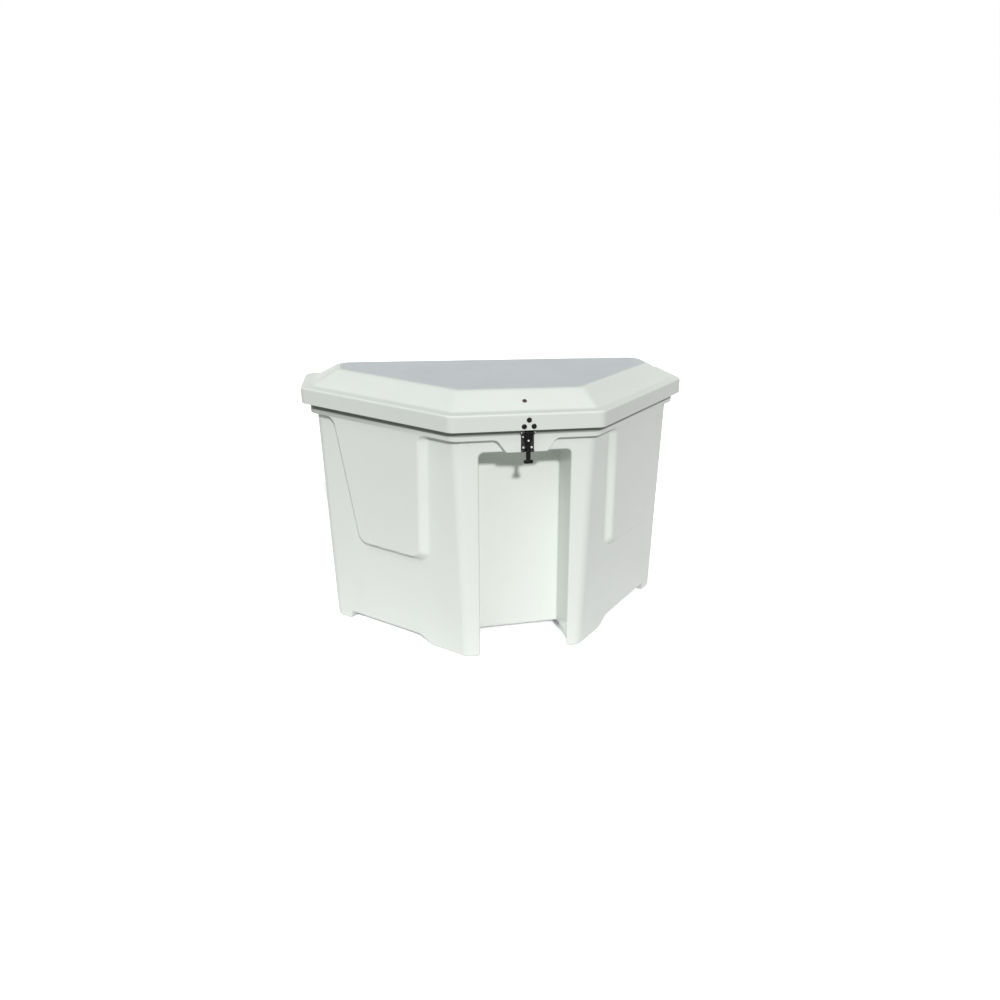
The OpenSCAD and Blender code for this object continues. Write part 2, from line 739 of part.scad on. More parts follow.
// A flat bar that follows the lid's underside from the front bevel to the back of the plateau.
module lid_bar() {
    start = rib_bolt_y - rib_lap;
    flat_z = top_z - lid_wall;
    top = [[start, inside_z(start)], inner_high, [dome_front + dome_soft + inner_shift, flat_z],
           [lid_depth - dome_back - dome_soft - inner_shift, flat_z]];
    low = [for (i = [3:-1:0]) top[i] - [0, rib_t]];
    color(steel) difference() {
        translate([rib_w / 2, front_y, 0]) rotate([90, 0, -90]) linear_extrude(rib_w)
            polygon([for (p = concat(top, low)) [-p[0], p[1]]]);
        on_bevel() bar_hole();
    }
}

// The bolts' heads are stepped: a flange, and a crown that is a share as wide.
crown = 0.72;
washer_t = 1;
washer_over = 3;

module bar_bolt() {
    color(bronze) on_bevel() {
        cylinder(r = rib_head_r, h = latch_head_h / 2);
        cylinder(r = rib_head_r * crown, h = latch_head_h);
        translate([0, 0, -bevel_grip - nut_t - thread_end])
            cylinder(r = rib_bolt_r, h = bevel_grip + nut_t + thread_end);
    }
}

module bar_nut() {
    color(steel) on_bevel() translate([0, 0, -bevel_grip - nut_t - face_gap / 2]) difference() {
        union() {
            cylinder(r = rib_bolt_r * nut_over, h = nut_t, $fn = 6);
            translate([0, 0, nut_t - washer_t]) cylinder(r = rib_bolt_r * washer_over, h = washer_t);
        }
        translate([0, 0, -cut]) cylinder(r = rib_bolt_r + hole_gap / 2, h = nut_t + 2 * cut);
    }
}

hat_slope = 12;

// Two hat-shaped stiffeners bonded under the plateau, one on each side of the bar.
module lid_stiffeners() {
    flat_z = top_z - lid_wall;
    from = rib_w / 2 + stiffener_gap;
    fore_y = back_y - stiffener_y - stiffener_w / 2;
    to = side_x(dome_side + dome_soft + inner_shift, fore_y) - stiffener_in;
    hat = [[-stiffener_w / 2, flat_z], [-stiffener_w / 2 + hat_slope, flat_z - stiffener_h],
           [stiffener_w / 2 - hat_slope, flat_z - stiffener_h], [stiffener_w / 2, flat_z]];
    color(gelcoat) both_sides() translate([from, back_y - stiffener_y, 0])
        rotate([90, 0, 90]) linear_extrude(to - from) polygon(hat);
}

// The latch: bracket and backing plate inside the skirt, three bolts, a pin and a rubber strap.
pin_back = 7;
pin_y = front_y + lid_wall + pin_back;
pin_z = skirt_z - strap_pin_drop;
ear_r = 6;
ear_gap = 0.5;
ear_w = (latch_w - strap_w) / 2 - ear_gap;
bracket_low = 1;
bracket_short = 10;
backing_low = 3;
backing_short = 11;

module latch_bracket() {
    plate_y = front_y + lid_wall;
    color(black) difference() {
        union() {
            translate([-latch_w / 2, plate_y, skirt_z - bracket_low])
                cube([latch_w, latch_t, skirt_h + bracket_low - bracket_short]);
            both_sides() {
                translate([latch_w / 2 - ear_w, plate_y, pin_z]) cube([ear_w, latch_t, strap_pin_drop]);
                along_x(latch_w / 2 - ear_w, pin_y, pin_z, ear_r, ear_w);
                translate([latch_w / 2 - ear_w, plate_y, pin_z]) cube([ear_w, pin_y - plate_y, ear_r]);
            }
        }
        along_x(-latch_w / 2 - cut, pin_y, pin_z, strap_pin_r + run_gap, latch_w + 2 * cut);
        latch_holes(plate_y, latch_t);
    }
}

module latch_backing() {
    plate_y = front_y + lid_wall + latch_t;
    color(steel) difference() {
        translate([-latch_w / 2 + cut, plate_y, skirt_z + backing_low])
            cube([latch_w - 2 * cut, latch_t, skirt_h - backing_low - backing_short]);
        latch_holes(plate_y, latch_t);
    }
}

module latch_bolts() {
    grip = lid_wall + 2 * latch_t;
    color(bronze) for (p = latch_bolt_at) {
        along_y(p[0], front_y - latch_head_h, p[1], latch_head_r * crown, latch_head_h);
        along_y(p[0], front_y - latch_head_h / 2, p[1], latch_head_r, latch_head_h / 2);
        along_y(p[0], front_y, p[1], latch_bolt_r, grip + nut_t + thread_end / 2);
    }
}

module latch_nuts() {
    color(steel) for (p = latch_bolt_at)
        nut(p[0], front_y + lid_wall + 2 * latch_t + face_gap / 2, p[1], latch_bolt_r);
}

pin_head_t = 2.2;
pin_head_over = 1.6;

module latch_pin() {
    color(steel) {
        along_x(-latch_w / 2 - face_gap - pin_head_t, pin_y, pin_z, strap_pin_r,
                latch_w + 2 * face_gap + 2 * pin_head_t);
        both_sides() along_x(latch_w / 2 + face_gap, pin_y, pin_z, strap_pin_r * pin_head_over, pin_head_t);
    }
}

// The strap narrows from its eye to a stem and ends in a cross handle. A rivet goes through it below the eye.
strap_rivet_neck = strap_rivet_r / 2;
strap_rivet_h = 1.2;
strap_rivet_gap = 0.1;

module latch_strap() {
    shoulder = 19;
    neck = 34;
    color(rubber) difference() {
        union() {
            along_x(-strap_w / 2, pin_y, pin_z, ear_r, strap_w);
            translate([0, pin_y + strap_t / 2, pin_z]) rotate([90, 0, 0]) linear_extrude(strap_t)
                polygon([[-strap_w / 2, 0], [-strap_w / 2, -shoulder], [-stem_w / 2, -neck],
                         [-stem_w / 2, -strap_len + tee_h / 2], [stem_w / 2, -strap_len + tee_h / 2],
                         [stem_w / 2, -neck], [strap_w / 2, -shoulder], [strap_w / 2, 0]]);
            translate([0, 0, pin_z - strap_len + tee_h / 2]) tee_bar();
        }
        along_x(-strap_w / 2 - cut, pin_y, pin_z, strap_pin_r + run_gap, strap_w + 2 * cut);
        along_y(0, pin_y - strap_t / 2 - cut, pin_z - strap_rivet_drop, strap_rivet_neck + strap_rivet_gap,
                strap_t + 2 * cut);
    }
}

module strap_rivet() {
    z = pin_z - strap_rivet_drop;
    color(steel) {
        along_y(0, pin_y - strap_t / 2 - strap_rivet_h, z, strap_rivet_r, strap_rivet_h);
        along_y(0, pin_y - strap_t / 2, z, strap_rivet_neck, strap_t);
        along_y(0, pin_y + strap_t / 2, z, strap_rivet_r, strap_rivet_h);
    }
}

module tee_bar() {
    end_r = tee_h / 2;
    translate([0, pin_y + tee_t / 2, 0]) rotate([90, 0, 0]) linear_extrude(tee_t) {
        square([tee_w - tee_h, tee_h], center = true);
        for (side = [-1, 1]) translate([side * (tee_w / 2 - end_r), 0]) circle(r = end_r);
    }
}

// The lid struts. Each turns on a stud on the tub and reaches a stud under the lid.
top_pivot = [hinge_y - strut_top_y, hinge_z + strut_top_z];
low_pivot = [hinge_y - strut_low_y, hinge_z - strut_low_z];
strut_x = end_x(wall_inset + lean(side_draft, low_pivot[1]) + wall, low_pivot[0]) - strut_in;
strut_len = norm(top_pivot - low_pivot);
strut_tilt = atan2(low_pivot[0] - top_pivot[0], top_pivot[1] - low_pivot[1]);
block_x = strut_x + eye_w / 2 + stud_len;
tube_start = 16;
tube_floor = 2;
gland_h = 8;
neck_start = stud_r + 2.5;
neck_r = eye_w / 2 - 0.5;
piston_start = 8;
piston_h = 6;

module on_strut() {
    translate([0, low_pivot[0], low_pivot[1]]) rotate([strut_tilt, 0, 0]) children();
}

module one_side(right) {
    mirror([right ? 0 : 1, 0, 0]) children();
}

module strut_eye() {
    rotate([0, 90, 0]) difference() {
        translate([0, 0, -eye_w / 2]) cylinder(r = eye_r, h = eye_w);
        translate([0, 0, -eye_w / 2 - cut]) cylinder(r = stud_r + run_gap, h = eye_w + 2 * cut);
    }
}

module strut_tube(right) {
    color(black) one_side(right) on_strut() translate([strut_x, 0, tube_start]) difference() {
        cylinder(r = strut_tube_r, h = strut_tube_len);
        translate([0, 0, tube_floor]) cylinder(r = strut_tube_r - strut_tube_wall, h = strut_tube_len);
    }
}

module strut_gland(right) {
    color(steel) one_side(right) on_strut()
        translate([strut_x, 0, tube_start + strut_tube_len - gland_h]) difference() {
            cylinder(r = strut_tube_r - strut_tube_wall - run_gap, h = gland_h);
            translate([0, 0, -cut]) cylinder(r = strut_rod_r + run_gap, h = gland_h + 2 * cut);
        }
}

module strut_tail(right) {
    color(black) one_side(right) on_strut() translate([strut_x, 0, 0]) {
        strut_eye();
        translate([0, 0, neck_start]) cylinder(r = neck_r, h = tube_start - neck_start);
    }
}

module strut_rod(right) {
    start = tube_start + piston_start;
    color([0.8, 0.81, 0.83]) one_side(right) on_strut() translate([strut_x, 0, start]) {
        cylinder(r = strut_rod_r, h = strut_len - start - tube_start);
        cylinder(r = strut_tube_r - strut_tube_wall - 2 * run_gap, h = piston_h);
    }
}

module strut_head(right) {
    color(black) one_side(right) on_strut() translate([strut_x, 0, strut_len]) {
        strut_eye();
        translate([0, 0, -tube_start]) cylinder(r = neck_r, h = tube_start - neck_start);
    }
}

// Blocks bonded to the mouldings give the studs a flat face to screw to.
block_deep = 40;
screw_bite = 7;
screw_head_h = 2;
bracket_edge = 3;
bracket_w = 36;
shank_gap = 0.2;

module block_screw_hole(y, z) {
    along_x(block_x - cut, y, z, screw_r, screw_bite + 2 * cut);
}

module plate_hole(y, z) {
    along_x(block_x - plate_t - cut, y, z, screw_r + hole_gap, plate_t + 2 * cut);
}

// The thick foot of a stud, from its base plate to just beside the strut's eye.
module stud_foot(y, z) {
    along_x(strut_x + eye_w / 2 + face_gap, y, z, stud_r * stud_foot_over, stud_len - plate_t - face_gap);
}

module block_screw_in(y, z) {
    along_x(block_x - plate_t - screw_head_h, y, z, screw_r * head_over, screw_head_h);
    along_x(block_x - plate_t, y, z, screw_r - shank_gap, plate_t + screw_bite);
}

stud_foot_over = 1.5;
tub_screw_z = [for (side = [-1, 1]) low_pivot[1] + side * block_screw];

module strut_pads_tub() {
    color(gelcoat) both_sides() difference() {
        intersection() {
            translate([block_x, low_pivot[0] - block_w / 2, low_pivot[1] - block_h / 2])
                cube([block_deep, block_w, block_h]);
            skin([tub_ring(floor_z, 0, wall), tub_ring(lip_z, 0, wall)]);
        }
        for (z = tub_screw_z) block_screw_hole(low_pivot[0], z);
    }
}

module strut_bracket(right) {
    color(steel) one_side(right) {
        difference() {
            translate([block_x - plate_t, low_pivot[0] - bracket_w / 2,
                       low_pivot[1] - block_h / 2 + bracket_edge])
                cube([plate_t, bracket_w, block_h - 2 * bracket_edge]);
            for (z = tub_screw_z) plate_hole(low_pivot[0], z);
        }
        stud_foot(low_pivot[0], low_pivot[1]);
        along_x(strut_x - eye_w / 2 - stud_end, low_pivot[0], low_pivot[1], stud_r,
                eye_w + stud_end + face_gap + cut);
    }
}

// The clips that keep the struts on the tub's studs.
stud_end = 4;
clip_t = 1.5;
clip_over = 1.7;

module stud_clips() {
    clip_x = strut_x - eye_w / 2 - face_gap - clip_t;
    color(steel) both_sides() difference() {
        along_x(clip_x, low_pivot[0], low_pivot[1], stud_r * clip_over, clip_t);
        along_x(clip_x - cut, low_pivot[0], low_pivot[1], stud_r + run_gap, clip_t + 2 * cut);
    }
}

module strut_screws_tub() {
    color(steel) both_sides() for (z = tub_screw_z) block_screw_in(low_pivot[0], z);
}

rim_gap = 1.5;
lid_block_low = 14;
lid_plate_h = 32;
lid_screw_up = 26;
lid_block_z = rim_z - lid_block_low;
lid_screw_y = [for (side = [-1, 1]) top_pivot[0] + side * block_screw_lid];

module strut_pads_lid() {
    color(gelcoat) both_sides() difference() {
        intersection() {
            translate([block_x, top_pivot[0] - block_w / 2, lid_block_z])
                cube([block_deep, block_w, far]);
            rim_opening(rim_gap, lid_block_z - cut, top_z);
            lid_inside();
        }
        for (y = lid_screw_y) block_screw_hole(y, lid_block_z + lid_screw_up);
    }
}

// The stud stops just short of the strut's eye: this pivot is left open.
module strut_stud(right) {
    color(steel) one_side(right) {
        difference() {
            translate([block_x - plate_t, top_pivot[0] - block_w / 2 + bracket_edge,
                       lid_block_z + bracket_edge])
                cube([plate_t, block_w - 2 * bracket_edge, lid_plate_h]);
            for (y = lid_screw_y) plate_hole(y, lid_block_z + lid_screw_up);
        }
        stud_foot(top_pivot[0], top_pivot[1]);
    }
}

module strut_screws_lid() {
    color(steel) both_sides() for (y = lid_screw_y) block_screw_in(y, lid_block_z + lid_screw_up);
}

tub_shell();
drain_bush();
rim_seal();
keeper_plate();
keeper_screws();
keeper_nuts();
hinge_leaf_tub();
hinge_pin();
hinge_rivets_tub();
strut_pads_tub();
strut_bracket(false);  // strut_bracket_left
strut_bracket(true);  // strut_bracket_right
strut_screws_tub();
stud_clips();
lid_shell();
lid_bar();
lid_stiffeners();
bar_bolt();
bar_nut();
hinge_leaf_lid();
hinge_rivets_lid();
latch_bracket();
latch_backing();
latch_bolts();
latch_nuts();
latch_pin();
latch_strap();
strap_rivet();
strut_pads_lid();
strut_stud(false);  // strut_stud_left
strut_stud(true);  // strut_stud_right
strut_screws_lid();
strut_tube(false);  // strut_tube_left
strut_tube(true);  // strut_tube_right
strut_gland(false);  // strut_gland_left
strut_gland(true);  // strut_gland_right
strut_tail(false);  // strut_tail_left
strut_tail(true);  // strut_tail_right
strut_rod(false);  // strut_rod_left
strut_rod(true);  // strut_rod_right
strut_head(false);  // strut_head_left
strut_head(true);  // strut_head_right
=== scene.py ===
"""Looks for the dock storage box: a glossy moulded tub and lid, black latch, steel hinge and lid struts.
Lengths are millimetres in the box's own frame until a mesh is made, and metres after that."""

import math

import bmesh
import bpy
import numpy as np
from mathutils import Matrix, Vector


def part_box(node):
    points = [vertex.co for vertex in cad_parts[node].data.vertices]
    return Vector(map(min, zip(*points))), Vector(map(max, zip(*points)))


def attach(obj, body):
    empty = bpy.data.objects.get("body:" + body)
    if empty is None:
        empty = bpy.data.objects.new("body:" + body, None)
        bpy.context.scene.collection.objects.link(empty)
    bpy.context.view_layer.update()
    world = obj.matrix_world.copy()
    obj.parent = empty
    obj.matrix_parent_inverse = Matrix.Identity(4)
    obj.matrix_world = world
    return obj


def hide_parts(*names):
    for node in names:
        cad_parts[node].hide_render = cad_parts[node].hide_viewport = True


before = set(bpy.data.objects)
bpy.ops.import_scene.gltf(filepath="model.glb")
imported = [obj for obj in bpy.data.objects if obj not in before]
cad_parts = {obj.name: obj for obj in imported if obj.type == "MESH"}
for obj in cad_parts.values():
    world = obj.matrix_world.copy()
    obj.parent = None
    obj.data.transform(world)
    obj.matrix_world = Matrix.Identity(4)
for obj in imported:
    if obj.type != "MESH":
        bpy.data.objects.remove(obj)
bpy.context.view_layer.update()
scene = bpy.context.scene

MM = 0.001

# Plan of the lid on the right-hand side: rear corner, side corner, front corner
BACK_Y, FRONT_Y = 364.0, -368.0
REAR = np.array([702.0, BACK_Y])
SIDE = np.array([720.0, 113.0])
FRONT = np.array([260.0, FRONT_Y])
SIDE_LEN = float(np.linalg.norm(FRONT - SIDE))

# Heights of the lid: the skirt's lower and upper edges, the shelf, the plateau
SKIRT_Z, SKIRT_TOP, SHELF_Z, TOP_Z = 856.0, 914.0, 915.0, 968.0
# Heights of the tub: the band's lower and upper edges, the rim, the underside of the floor
LIP_Z, BAND_Z, RIM_Z, FLOOR_Z = 818.0, 852.0, 900.0, 34.0

# Tub: its thickness, how far it stands inside the lid's plan, how far its walls lean in, its corners
WALL = 5.0
LIP_IN, WALL_IN, BACK_IN, RIM_BACK = 28.0, 50.0, 22.0, 9.0
SIDE_LEAN, FRONT_LEAN, BACK_LEAN = 26.0, 6.0, 18.0
CORNER_R = 50.0
# Hidden in the band: the tops of the walls, and of what stands out from them
WALLS_TOP, HIDDEN_TOP = 840.0, LIP_Z + 5

# Raised panels of the sides: ends from the side's corners, lower edge, leans, and slopes of the edges
PANEL_START, PANEL_END, PANEL_Z = 118.0, 160.0, 358.0
PANEL_BACK_LEAN, PANEL_FORE_LEAN, PANEL_FACE_LEAN = 84.0, 22.0, 14.0
PANEL_SLOPE, PANEL_FORE_SLOPE = 0.52, 0.96

# Latch pad: half its width at the lip, its lower edge, the lean of its sides, its face and its root
PAD_HALF, PAD_Z, PAD_LEAN, PAD_Y, PAD_ROOT_Y = 103.0, 772.0, 33.0, -340.0, -290.0

# Recess for a post: half its width, its top and its back; the cut-back low on its side walls
RECESS_HALF, RECESS_Z, RECESS_Y = 160.0, 770.0, -156.0
CUT_Z, CUT_FALL, CUT_SLOPE, CUT_DEEP, CUT_END_Y, CUT_EASE = 32.0, 0.42, 0.35, 12.0, -308.0, 30.0

# Feet: how far their sides lean below the floor, the shares that this leaves of a level distance,
# and where their sides stand on the ground
FOOT_LEAN, TOE_LEAN, FOOT_R = 12.0, 52.0, 15.0
FOOT_SHARE, HEEL_SHARE, TOE_SHARE = 0.943, 0.82, 0.547
HEEL_Y, HEEL_CORNER_Y, HEEL_TURN, TOE_END, FOOT_INNER_X = -136.0, -190.0, 0.7, 165.0, 152.0
REAR_FOOT_U, REAR_FOOT_X, REAR_FOOT_Y = 96.0, 552.0, 300.0

# Openings of the tub: the mouth inside the rim, the anchor holes of the feet, the drain
MOUTH_BACK, MOUTH_IN, MOUTH_R, MOUTH_Z = 22.0, 48.0, 30.0, 880.0
FRONT_ANCHOR, REAR_ANCHOR, ANCHOR_R = (210.0, -216.0), (599.98, 204.0), 5.5
DRAIN_Y, DRAIN_R, HOLE_TOP = 254.0, 12.0, 60.0

# Lid: how far in its plateau starts, the shelf's width, the radii of its skirt and corners
DOME = {"back": 82.0, "end": 124.0, "side": 122.0, "front": 130.0}
SHELF_W, SKIRT_R, LID_CORNER, SLOPE_CORNER = 38.0, 6.0, 42.0, 21.0
# The slope from shelf to plateau climbs this far, and ends this far short of the plateau
DOME_RISE, DOME_EASE = 51.0, 5.0
LID_WALL, LID_STEPS = 5.0, 12


# Plan of the box


def unit(v):
    """A vector's direction, one long."""
    return v / np.linalg.norm(v)


def outward(a, b):
    """The direction that points out of the plan from its edge a to b, on the right-hand side."""
    d = unit(b - a)
    return np.array([-d[1], d[0]])


EDGE_OUT = [np.array([0.0, 1.0]), outward(REAR, SIDE), outward(SIDE, FRONT), np.array([0.0, -1.0])]
SIDE_DIR = unit(FRONT - SIDE)


def plan_distance(x, y, back, side, front, r):
    """How far a point lies outside the plan with its edges moved in and its corners rounded."""
    x = np.abs(x)
    far = [y - BACK_Y + back + r, FRONT_Y - y + front + r]
    far[1:1] = [(x - SIDE[0]) * a + (y - SIDE[1]) * b + side + r for a, b in EDGE_OUT[1:3]]
    out = np.maximum(np.maximum(far[0], far[1]), np.maximum(far[2], far[3]))
    for i in range(3):
        a, b, c = far[i], far[i + 1], float(EDGE_OUT[i] @ EDGE_OUT[i + 1])
        corner = np.sqrt(np.maximum(a * a + b * b - 2 * c * a * b, 0)) / math.sqrt(1 - c * c)
        out = np.where((a > c * b) & (b > c * a), corner, out)
    return out - r


def plan_corners(gaps):
    """The plan's corners with its edges moved in, counter-clockwise from the back on the right."""
    flip = np.array([-1.0, 1.0])
    raw = [REAR, REAR * flip, SIDE * flip, FRONT * flip, FRONT, SIDE]
    inset = [gaps[edge] for edge in ("back", "end", "side", "front", "side", "end")]
    run = [unit(raw[(i + 1) % 6] - raw[i]) for i in range(6)]
    at = [raw[i] + inset[i] * np.array([-run[i][1], run[i][0]]) for i in range(6)]
    corners = []
    for i in range(6):
        j = (i + 5) % 6
        step = np.linalg.solve(np.array([run[j], -run[i]]).T, at[i] - at[j])
        corners.append(at[j] + run[j] * step[0])
    return corners


def plan_ring(gaps, r, z, steps):
    """A closed line of points round the plan at one height, with rounded corners."""
    corners, ring = plan_corners(gaps), []
    for i, p in enumerate(corners):
        u, v = unit(corners[i - 1] - p), unit(corners[(i + 1) % 6] - p)
        half = math.acos(float(u @ v)) / 2
        mid = p + unit(u + v) * r / math.sin(half)
        start, end = p + u * r / math.tan(half) - mid, p + v * r / math.tan(half) - mid
        first = math.atan2(start[1], start[0])
        turn = (math.atan2(end[1], end[0]) - first + 3 * math.pi) % (2 * math.pi) - math.pi
        for k in range(steps + 1):
            a = first + turn * k / steps
            ring.append((mid[0] + r * math.cos(a), mid[1] + r * math.sin(a), z))
    return ring


def even(inset):
    """The same distance inwards for every edge of the plan."""
    return {edge: inset for edge in DOME}


def arc(step, end=90):
    """Angles up to an end, in even steps."""
    return [math.radians(step * k) for k in range(round(end / step) + 1)]


def bent(t, first, middle, last):
    """The point at share t of a curve that bends towards its middle point."""
    return first * (1 - t) ** 2 + middle * 2 * t * (1 - t) + last * t * t


# Meshes


def placed(name, data):
    obj = bpy.data.objects.new(name, data)
    scene.collection.objects.link(obj)
    return obj


def mesh_object(name, points, faces):
    """A new object from points in millimetres and faces."""
    mesh = bpy.data.meshes.new(name)
    mesh.from_pydata([tuple(c * MM for c in p) for p in points], [], faces)
    return placed(name, mesh)


def bmesh_object(name, bm):
    """A new object from a bmesh, which is freed."""
    mesh = bpy.data.meshes.new(name)
    bm.to_mesh(mesh)
    bm.free()
    return placed(name, mesh)


def read(items, key, width=1, kind=np.int32):
    """One value, or one row of values, for each item of a mesh."""
    values = np.empty(len(items) * width, kind)
    items.foreach_get(key, values)
    return values if width == 1 else values.reshape(-1, width)


def made_real(obj):
    """Makes an object's modifiers part of its mesh."""
    bpy.context.view_layer.update()
    graph = bpy.context.evaluated_depsgraph_get()
    mesh = bpy.data.meshes.new_from_object(obj.evaluated_get(graph), depsgraph=graph)
    old = obj.data
    obj.modifiers.clear()
    obj.data = mesh
    mesh.name = obj.name
    bpy.data.meshes.remove(old)
    return obj


def all_smooth(mesh):
    """Marks every face of a mesh as smooth."""
    mesh.polygons.foreach_set("use_smooth", [True] * len(mesh.polygons))


def smooth_shaded(obj):
    """Shades a piece smoothly, with its large flat faces kept flat."""
    all_smooth(obj.data)
    weighted = obj.modifiers.new("Even shading", "WEIGHTED_NORMAL")
    weighted.weight = 100
    weighted.keep_sharp = False
    return made_real(obj)


def closed_outward(obj):
    """Makes the normals of a closed mesh point outwards."""
    bm = bmesh.new()
    bm.from_mesh(obj.data)
    bmesh.ops.remove_doubles(bm, verts=bm.verts, dist=1e-7)
    bmesh.ops.recalc_face_normals(bm, faces=bm.faces)
    bm.to_mesh(obj.data)
    bm.free()
    return obj


def skinned(name, rings, loop=False):
    """A closed surface through rings of points; loop joins the last ring to the first."""
    n, m = len(rings[0]), len(rings)
    points = [p for ring in rings for p in ring]
    faces = []
    for k in range(m if loop else m - 1):
        a, b = k * n, (k + 1) % m * n
        faces += [(a + i, a + (i + 1) % n, b + (i + 1) % n, b + i) for i in range(n)]
    if not loop:
        faces.append(tuple(reversed(range(n))))
        faces.append(tuple((m - 1) * n + i for i in range(n)))
    return closed_outward(mesh_object(name, points, faces))


def node_bmesh(node):
    """A CAD node's mesh as a bmesh, its loose triangles joined."""
    bm = bmesh.new()
    bm.from_mesh(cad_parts[node].data)
    bmesh.ops.remove_doubles(bm, verts=bm.verts, dist=2e-6)
    return bm


def finished_node(name, node, edge):
    """A CAD node's own shape as a new piece, with its flat faces made whole and its edges rounded."""
    bm = node_bmesh(node)
    bmesh.ops.dissolve_limit(bm, angle_limit=math.radians(1), verts=bm.verts, edges=bm.edges)
    obj = bmesh_object(name, bm)
    bevel = obj.modifiers.new("Rounded edges", "BEVEL")
    bevel.width, bevel.segments = edge * MM, 2
    bevel.limit_method, bevel.angle_limit = "ANGLE", math.radians(28)
    bevel.use_clamp_overlap = True
    return smooth_shaded(obj)


def solids_of(node):
    """The lowest corner, highest corner and middle of each separate solid of a CAD node."""
    bm = node_bmesh(node)
    seen, found = set(), []
    for start in bm.verts:
        if start in seen:
            continue
        group, todo = [], [start]
        seen.add(start)
        while todo:
            v = todo.pop()
            group.append(tuple(v.co))
            for edge in v.link_edges:
                other = edge.other_vert(v)
                if other not in seen:
                    seen.add(other)
                    todo.append(other)
        co = np.array(group) / MM
        found.append((co.min(0), co.max(0), (co.min(0) + co.max(0)) / 2))
    bm.free()
    return found


def dress(obj, body, slot, *nodes, materials=()):
    """Gives a piece its materials, from its slot where none are named, puts it on its body and hides the CAD
    nodes that it stands for.
    """
    materials = materials or [FINISH[slot]]
    finish = read(obj.data.polygons, "material_index")
    obj.data.materials.clear()
    for material in materials:
        obj.data.materials.append(material)
    # Clearing the list sets every face back to the first material
    obj.data.polygons.foreach_set("material_index", np.minimum(finish, len(materials) - 1))
    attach(obj, body)
    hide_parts(*nodes)


# Tub: one smooth moulding


def round_inter(a, b, r):
    """Where two shapes meet, with the edge between them rounded."""
    return np.minimum(-r, np.maximum(a, b)) + np.hypot(np.maximum(a + r, 0), np.maximum(b + r, 0))


def round_union(a, b, r):
    """Two shapes joined, with a fillet in the corner between them."""
    return np.maximum(r, np.minimum(a, b)) - np.hypot(np.maximum(r - a, 0), np.maximum(r - b, 0))


def leaning(run, z, tall, lean):
    """How far a point lies past an edge that leans by so much over a height that ends at the lip."""
    return (run * tall - (z - LIP_Z) * lean) / math.hypot(tall, lean)


def sloped(edge, deep, slope):
    """The same edge as a slope, which spreads by a share of the depth behind the face."""
    return (edge - slope * deep) / math.hypot(1, slope)


def walls_distance(x, y, z):
    """The walls, which lean in towards the ground, with the band and the rim round their top."""
    t = np.maximum((LIP_Z - z) / LIP_Z, 0)
    side = WALL_IN + SIDE_LEAN * t
    walls = plan_distance(x, y, BACK_IN + BACK_LEAN * t, side, WALL_IN + FRONT_LEAN * t, CORNER_R)
    walls = np.maximum(round_inter(walls, -z, 10), z - WALLS_TOP)
    upper = []
    for back, top in ((0, BAND_Z), (RIM_BACK, RIM_Z)):
        plan = plan_distance(x, y, back, LIP_IN, LIP_IN, CORNER_R)
        upper.append(round_inter(plan, np.abs(z - (LIP_Z + top) / 2) - (top - LIP_Z) / 2, 3))
    return walls, np.minimum(*upper)


def panel_distance(u, w, z):
    """A side's raised panel, from the distances along the side and out of it. Its edges are slopes."""
    tall = LIP_Z - PANEL_Z
    face = w + LIP_IN + PANEL_FACE_LEAN * np.maximum(LIP_Z - z, 0) / tall
    deep = np.maximum(-face, 0)
    back = sloped(leaning(PANEL_START - u, z, tall, PANEL_BACK_LEAN), deep, PANEL_SLOPE)
    fore = sloped(leaning(u - SIDE_LEN + PANEL_END, z, tall, PANEL_FORE_LEAN), deep, PANEL_FORE_SLOPE)
    low = sloped(PANEL_Z - z, deep, PANEL_SLOPE)
    edges = np.maximum(round_inter(back, low, 30), round_inter(fore, low, 30))
    outline = np.maximum(round_union(edges, LIP_Z - z, 26), edges - 27)
    return np.maximum(np.maximum(round_inter(outline, face, 6), z - HIDDEN_TOP), -face - 45)


def pad_distance(x, y, z):
    """The pad behind the latch."""
    side = leaning(x - PAD_HALF, z, LIP_Z - PAD_Z, PAD_LEAN)
    outline = np.maximum(round_union(side, LIP_Z - z, 9), side - 10)
    pad = round_inter(round_inter(outline, PAD_Z - z, 5), PAD_Y - y, 3)
    return np.maximum(np.maximum(pad, z - HIDDEN_TOP), y - PAD_ROOT_Y)


def recess_distance(x, y, z):
    """The recess for a post, its side walls cut back a little low down."""
    cut = CUT_SLOPE * (CUT_Z - CUT_FALL * (y - RECESS_Y) - z)
    flare = np.clip(cut, 0, CUT_DEEP) * np.clip((y - CUT_END_Y) / CUT_EASE, 0, 1)
    return round_inter(round_inter(x - RECESS_HALF - flare, z - RECESS_Z, 18), y - RECESS_Y, 8)


def feet_distance(x, y, z, u):
    """The front and the rear foot, from the place and the distance along the side."""
    up = np.clip(z / FLOOR_Z, 0, 1.5)
    lean = FOOT_LEAN * up
    heel = np.minimum(HEEL_Y, HEEL_CORNER_Y + HEEL_TURN * (x - RECESS_HALF)) + lean
    toe = SIDE_LEN - TOE_END - TOE_LEAN * up
    front = round_inter((y - heel) * HEEL_SHARE, (toe - u) * TOE_SHARE, FOOT_R)
    front = np.maximum(front, FOOT_INNER_X - x)
    rear = round_inter((u - REAR_FOOT_U - lean) * FOOT_SHARE, (REAR_FOOT_X - lean - x) * FOOT_SHARE, FOOT_R)
    rear = round_inter(rear, (y - REAR_FOOT_Y - lean) * FOOT_SHARE, FOOT_R)
    return np.minimum(front, rear)


